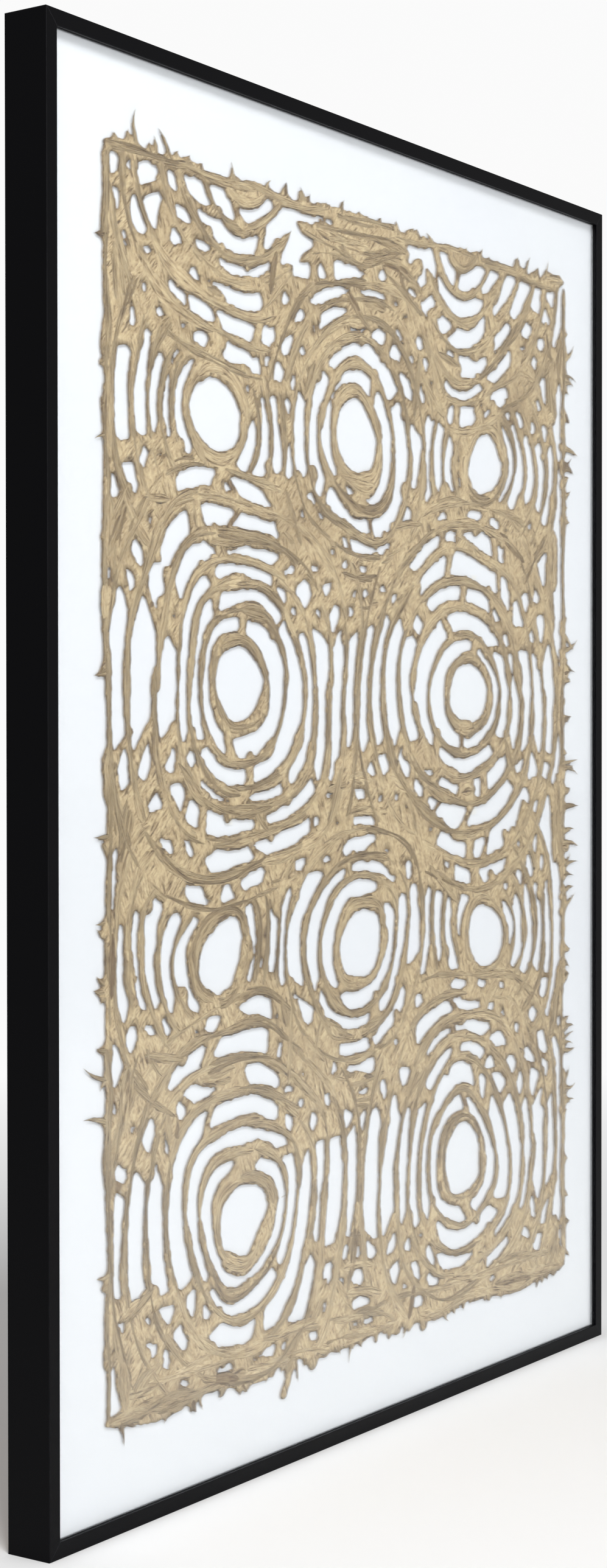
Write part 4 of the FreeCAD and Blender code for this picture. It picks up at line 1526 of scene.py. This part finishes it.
@dataclass
class PhotoView:
    """The camera, where the photograph was taken from.

    Attributes:
        place: Its place in metres.
        yaw: Degrees from +Y towards +X.
        pitch: Degrees above the horizon.
        roll: Degrees about its own axis.
        focal: Focal length in photograph pixels.
        photo_height: The photograph's height in pixels.
        sensor: The sensor's longer side in millimetres.
    """

    place: tuple[float, float, float] = (-1.95515, -1.27299, 0.62851)
    yaw: float = 55.866
    pitch: float = -0.773
    roll: float = -0.05
    focal: float = 4141.9
    photo_height: float = 2576.0
    sensor: float = 36.0

    def build(self) -> None:
        """Add the camera and make it the scene's."""
        yaw, pitch, roll = (math.radians(a) for a in (self.yaw, self.pitch, self.roll))
        ahead = Vector((math.sin(yaw) * math.cos(pitch), math.cos(yaw) * math.cos(pitch), math.sin(pitch)))
        level = Vector((math.cos(yaw), -math.sin(yaw), 0.0))
        upright = level.cross(ahead)
        right = math.cos(roll) * level + math.sin(roll) * upright
        up = math.cos(roll) * upright - math.sin(roll) * level
        turn = Matrix((right, up, -ahead)).transposed()
        data = bpy.data.cameras.new("photo_camera")
        data.sensor_fit = "AUTO"
        data.sensor_width = self.sensor
        data.lens = self.focal * self.sensor / self.photo_height
        data.clip_start, data.clip_end = 0.05, 60.0
        camera = bpy.data.objects.new("photo_camera", data)
        camera.matrix_world = Matrix.Translation(self.place) @ turn.to_4x4()
        bpy.context.scene.collection.objects.link(camera)
        bpy.context.scene.camera = camera


@dataclass
class Studio:
    """A pale floor, a white surround and soft lamps.

    Attributes:
        surround: The strength of the white light from all round.
        backdrop: How bright the background is to the camera.
        fade_start: Where the floor begins to fade into the background, in metres from the origin.
        fade_end: Where it has faded.
        floor_reach: Half the floor's width.
        floor_colour: The floor's colour.
    """

    surround: float = 0.47
    backdrop: float = 0.96
    fade_start: float = 0.7
    fade_end: float = 2.6
    floor_reach: float = 30.0
    floor_colour: Colour = (0.86, 0.86, 0.86, 1.0)

    def lamp(self, name: str, place: tuple, target: tuple, size: float, power: float) -> None:
        """One square soft lamp.

        Args:
            name: The lamp's name.
            place: Where it hangs.
            target: What it points at.
            size: Its side in metres.
            power: Its power in watts.
        """
        data = bpy.data.lights.new(name, "AREA")
        data.shape = "SQUARE"
        data.size = size
        data.energy = power
        lamp = bpy.data.objects.new(name, data)
        aim = Vector(target) - Vector(place)
        lamp.matrix_world = Matrix.Translation(place) @ aim.to_track_quat("-Z", "Y").to_matrix().to_4x4()
        bpy.context.scene.collection.objects.link(lamp)

    def shown_white(self, nodes: NodeTree) -> Socket:
        """1 for rays that look at the background, straight or through glass."""
        path = nodes.add("ShaderNodeLightPath")
        return nodes.math("MAXIMUM", path.outputs["Is Camera Ray"], path.outputs["Is Transmission Ray"])

    def build(self) -> None:
        """Add the floor, the surround and the lamps."""
        world = bpy.data.worlds.new("white_surround")
        world.use_nodes = True
        world.node_tree.nodes.clear()
        nodes = NodeTree(world.node_tree)
        extra = self.backdrop - self.surround
        strength = nodes.math("MULTIPLY_ADD", self.shown_white(nodes), extra, self.surround)
        white = nodes.add("ShaderNodeBackground", {"Color": (1.0, 1.0, 1.0, 1.0), "Strength": strength})
        nodes.add("ShaderNodeOutputWorld", {"Surface": white.outputs[0]})
        bpy.context.scene.world = world

        deselect_all()
        bpy.ops.mesh.primitive_plane_add(size=2 * self.floor_reach, location=(0, 0, 0))
        floor = bpy.context.active_object
        floor.name = "floor"
        material = bpy.data.materials.new("pale_floor")
        material.use_nodes = True
        material.node_tree.nodes.clear()
        nodes = NodeTree(material.node_tree)
        matt = nodes.add("ShaderNodeBsdfDiffuse", {"Color": self.floor_colour})
        glow = nodes.add("ShaderNodeEmission", {"Color": (1.0, 1.0, 1.0, 1.0), "Strength": self.backdrop})
        place = nodes.add("ShaderNodeTexCoord").outputs["Object"]
        away = nodes.add("ShaderNodeVectorMath", {0: place}, operation="LENGTH").outputs["Value"]
        span = self.fade_end - self.fade_start
        fade = nodes.math("MULTIPLY_ADD", away, 1 / span, -self.fade_start / span, clamp=True)
        shown = nodes.math("MULTIPLY", fade, self.shown_white(nodes))
        both = nodes.add("ShaderNodeMixShader", {0: shown, 1: matt.outputs[0], 2: glow.outputs[0]})
        nodes.add("ShaderNodeOutputMaterial", {"Surface": both.outputs[0]})
        floor.data.materials.append(material)

        self.lamp("key_softbox", (-1.7, -1.8, 3.1), (0.0, 0.0, 0.65), 1.0, 86.0)
        self.lamp("front_fill", (0.4, -3.2, 1.0), (0.0, 0.0, 0.5), 2.2, 37.0)
        bpy.context.scene.view_settings.view_transform = "Standard"


@dataclass
class HangerScrews:
    """The four small pan-head screws that hold the hanger plates.

    Attributes:
        places: Where the heads' middles are, across and up, in millimetres.
        seat: The depth of the plates' outer face.
        radius: The head's radius.
        height: The head's height.
        finish: The screws' look.
    """

    places: tuple = ((-443.0, 946.0), (-443.0, 982.5), (443.0, 946.0), (443.0, 982.5))
    seat: float = 19.5
    radius: float = 3.1
    height: float = 1.3
    finish: ZincPlate = ZincPlate("screw_zinc", srgb(206, 208, 212), 0.26)

    def build(self) -> None:
        """Model one screw head and copy it to every place."""
        deselect_all()
        bpy.ops.mesh.primitive_uv_sphere_add(segments=40, ring_count=24, radius=self.radius * MM)
        first = bpy.context.active_object
        bpy.ops.object.mode_set(mode="EDIT")
        bpy.ops.mesh.select_all(action="SELECT")
        bpy.ops.mesh.bisect(plane_co=(0, 0, 0), plane_no=(0, 1, 0), use_fill=True, clear_inner=True)
        bpy.ops.object.mode_set(mode="OBJECT")
        first.scale = (1.0, self.height / self.radius, 1.0)
        bpy.ops.object.transform_apply(location=False, rotation=False, scale=True)
        for turn in (0.0, math.pi / 2):
            self.cut_slot(first, turn)
        first.data.materials.append(self.finish.material())
        heads = [first]
        for _ in self.places[1:]:
            head = first.copy()
            head.data = first.data.copy()
            bpy.context.scene.collection.objects.link(head)
            heads.append(head)
        for number, (head, (across, up)) in enumerate(zip(heads, self.places)):
            head.name = f"hanger_screw_{number + 1}"
            spin = Matrix.Rotation(0.4 + 1.1 * number, 4, "Y")
            head.data.transform(Matrix.Translation((across * MM, self.seat * MM, up * MM)) @ spin)
            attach(head, "root")

    def cut_slot(self, head: bpy.types.Object, turn: float) -> None:
        """Cut one arm of the cross recess.

        Args:
            head: The screw head, still at the origin.
            turn: The arm's turn about the screw's axis.
        """
        deselect_all()
        bpy.ops.mesh.primitive_cube_add(size=1, location=(0, self.height * MM, 0), rotation=(0, turn, 0))
        cutter = bpy.context.active_object
        cutter.scale = (3.6 * MM, 1.2 * MM, 0.75 * MM)
        deselect_all()
        bpy.context.view_layer.objects.active = head
        head.select_set(True)
        cut = head.modifiers.new("recess", "BOOLEAN")
        cut.object, cut.solver = cutter, "EXACT"
        bpy.ops.object.modifier_apply(modifier=cut.name)
        bpy.data.objects.remove(cutter)


def repaint(names: list[str], finish: Finish) -> None:
    """Give CAD nodes a finish.

    Args:
        names: The nodes' names.
        finish: Their new finish.
    """
    material = finish.material()
    for name in names:
        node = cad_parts[name]
        node.data.materials.clear()
        node.data.materials.append(material)


SIDES = ("top", "bottom", "left", "right")


@dataclass
class FrameDressing:
    """The finishes of the CAD pieces that keep their own shape."""

    lacquer: Lacquer = Lacquer("black_lacquer", srgb(4, 4, 6), 0.42, 0.07)
    spacer: Foam = Foam("black_spacer", srgb(22, 22, 24), 0.6, 0.3)
    glass: Glazing = Glazing("picture_glass", (1.0, 1.0, 1.0, 1.0), 0.01, 0.05)
    mount: Board = Board("pale_mount", srgb(246, 249, 253), 0.9, 0.2)
    hardboard: Hardboard = Hardboard("hardboard", srgb(122, 86, 56), 0.75, 0.3)
    zinc: ZincPlate = ZincPlate("zinc_plate", srgb(196, 199, 204), 0.28)
    rubber: Foam = Foam("grey_rubber", srgb(58, 58, 61), 0.85, 0.3)
    pad: Foam = Foam("white_foam", srgb(232, 232, 228), 0.9, 0.2)

    def build(self) -> None:
        """Repaint the nodes."""
        repaint([f"rail_{side}" for side in SIDES], self.lacquer)
        repaint([f"spacer_{side}" for side in SIDES], self.spacer)
        pine = srgb(222, 186, 138)
        repaint(["strainer_left", "strainer_right"], Pine("pine_upright", pine, 0.6, 0.3))
        repaint(["strainer_top", "strainer_bottom"], Pine("pine_level", pine, 0.6, 0.3, upright=False))
        repaint(["glass_pane"], self.glass)
        repaint(["mount_board"], self.mount)
        repaint(["backing_board"], self.hardboard)
        repaint(["hanger_left", "hanger_right", "strainer_brads", "corner_vnails"], self.zinc)
        repaint(["bumper_left", "bumper_right"], self.rubber)
        repaint(["lace_pads"], self.pad)
        LOG.info("frame dressed")


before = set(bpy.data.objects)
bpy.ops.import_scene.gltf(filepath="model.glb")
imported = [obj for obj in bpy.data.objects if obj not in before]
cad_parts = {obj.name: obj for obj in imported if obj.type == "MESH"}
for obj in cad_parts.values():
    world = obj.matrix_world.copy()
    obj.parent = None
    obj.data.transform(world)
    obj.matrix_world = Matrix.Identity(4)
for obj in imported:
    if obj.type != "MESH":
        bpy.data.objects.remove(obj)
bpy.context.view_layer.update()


def main() -> None:
    """Build the whole scene in order."""
    PhotoView().build()
    Studio().build()
    FrameDressing().build()
    HangerScrews().build()
    BarkLace().build()


if __name__ == "__main__":
    main()
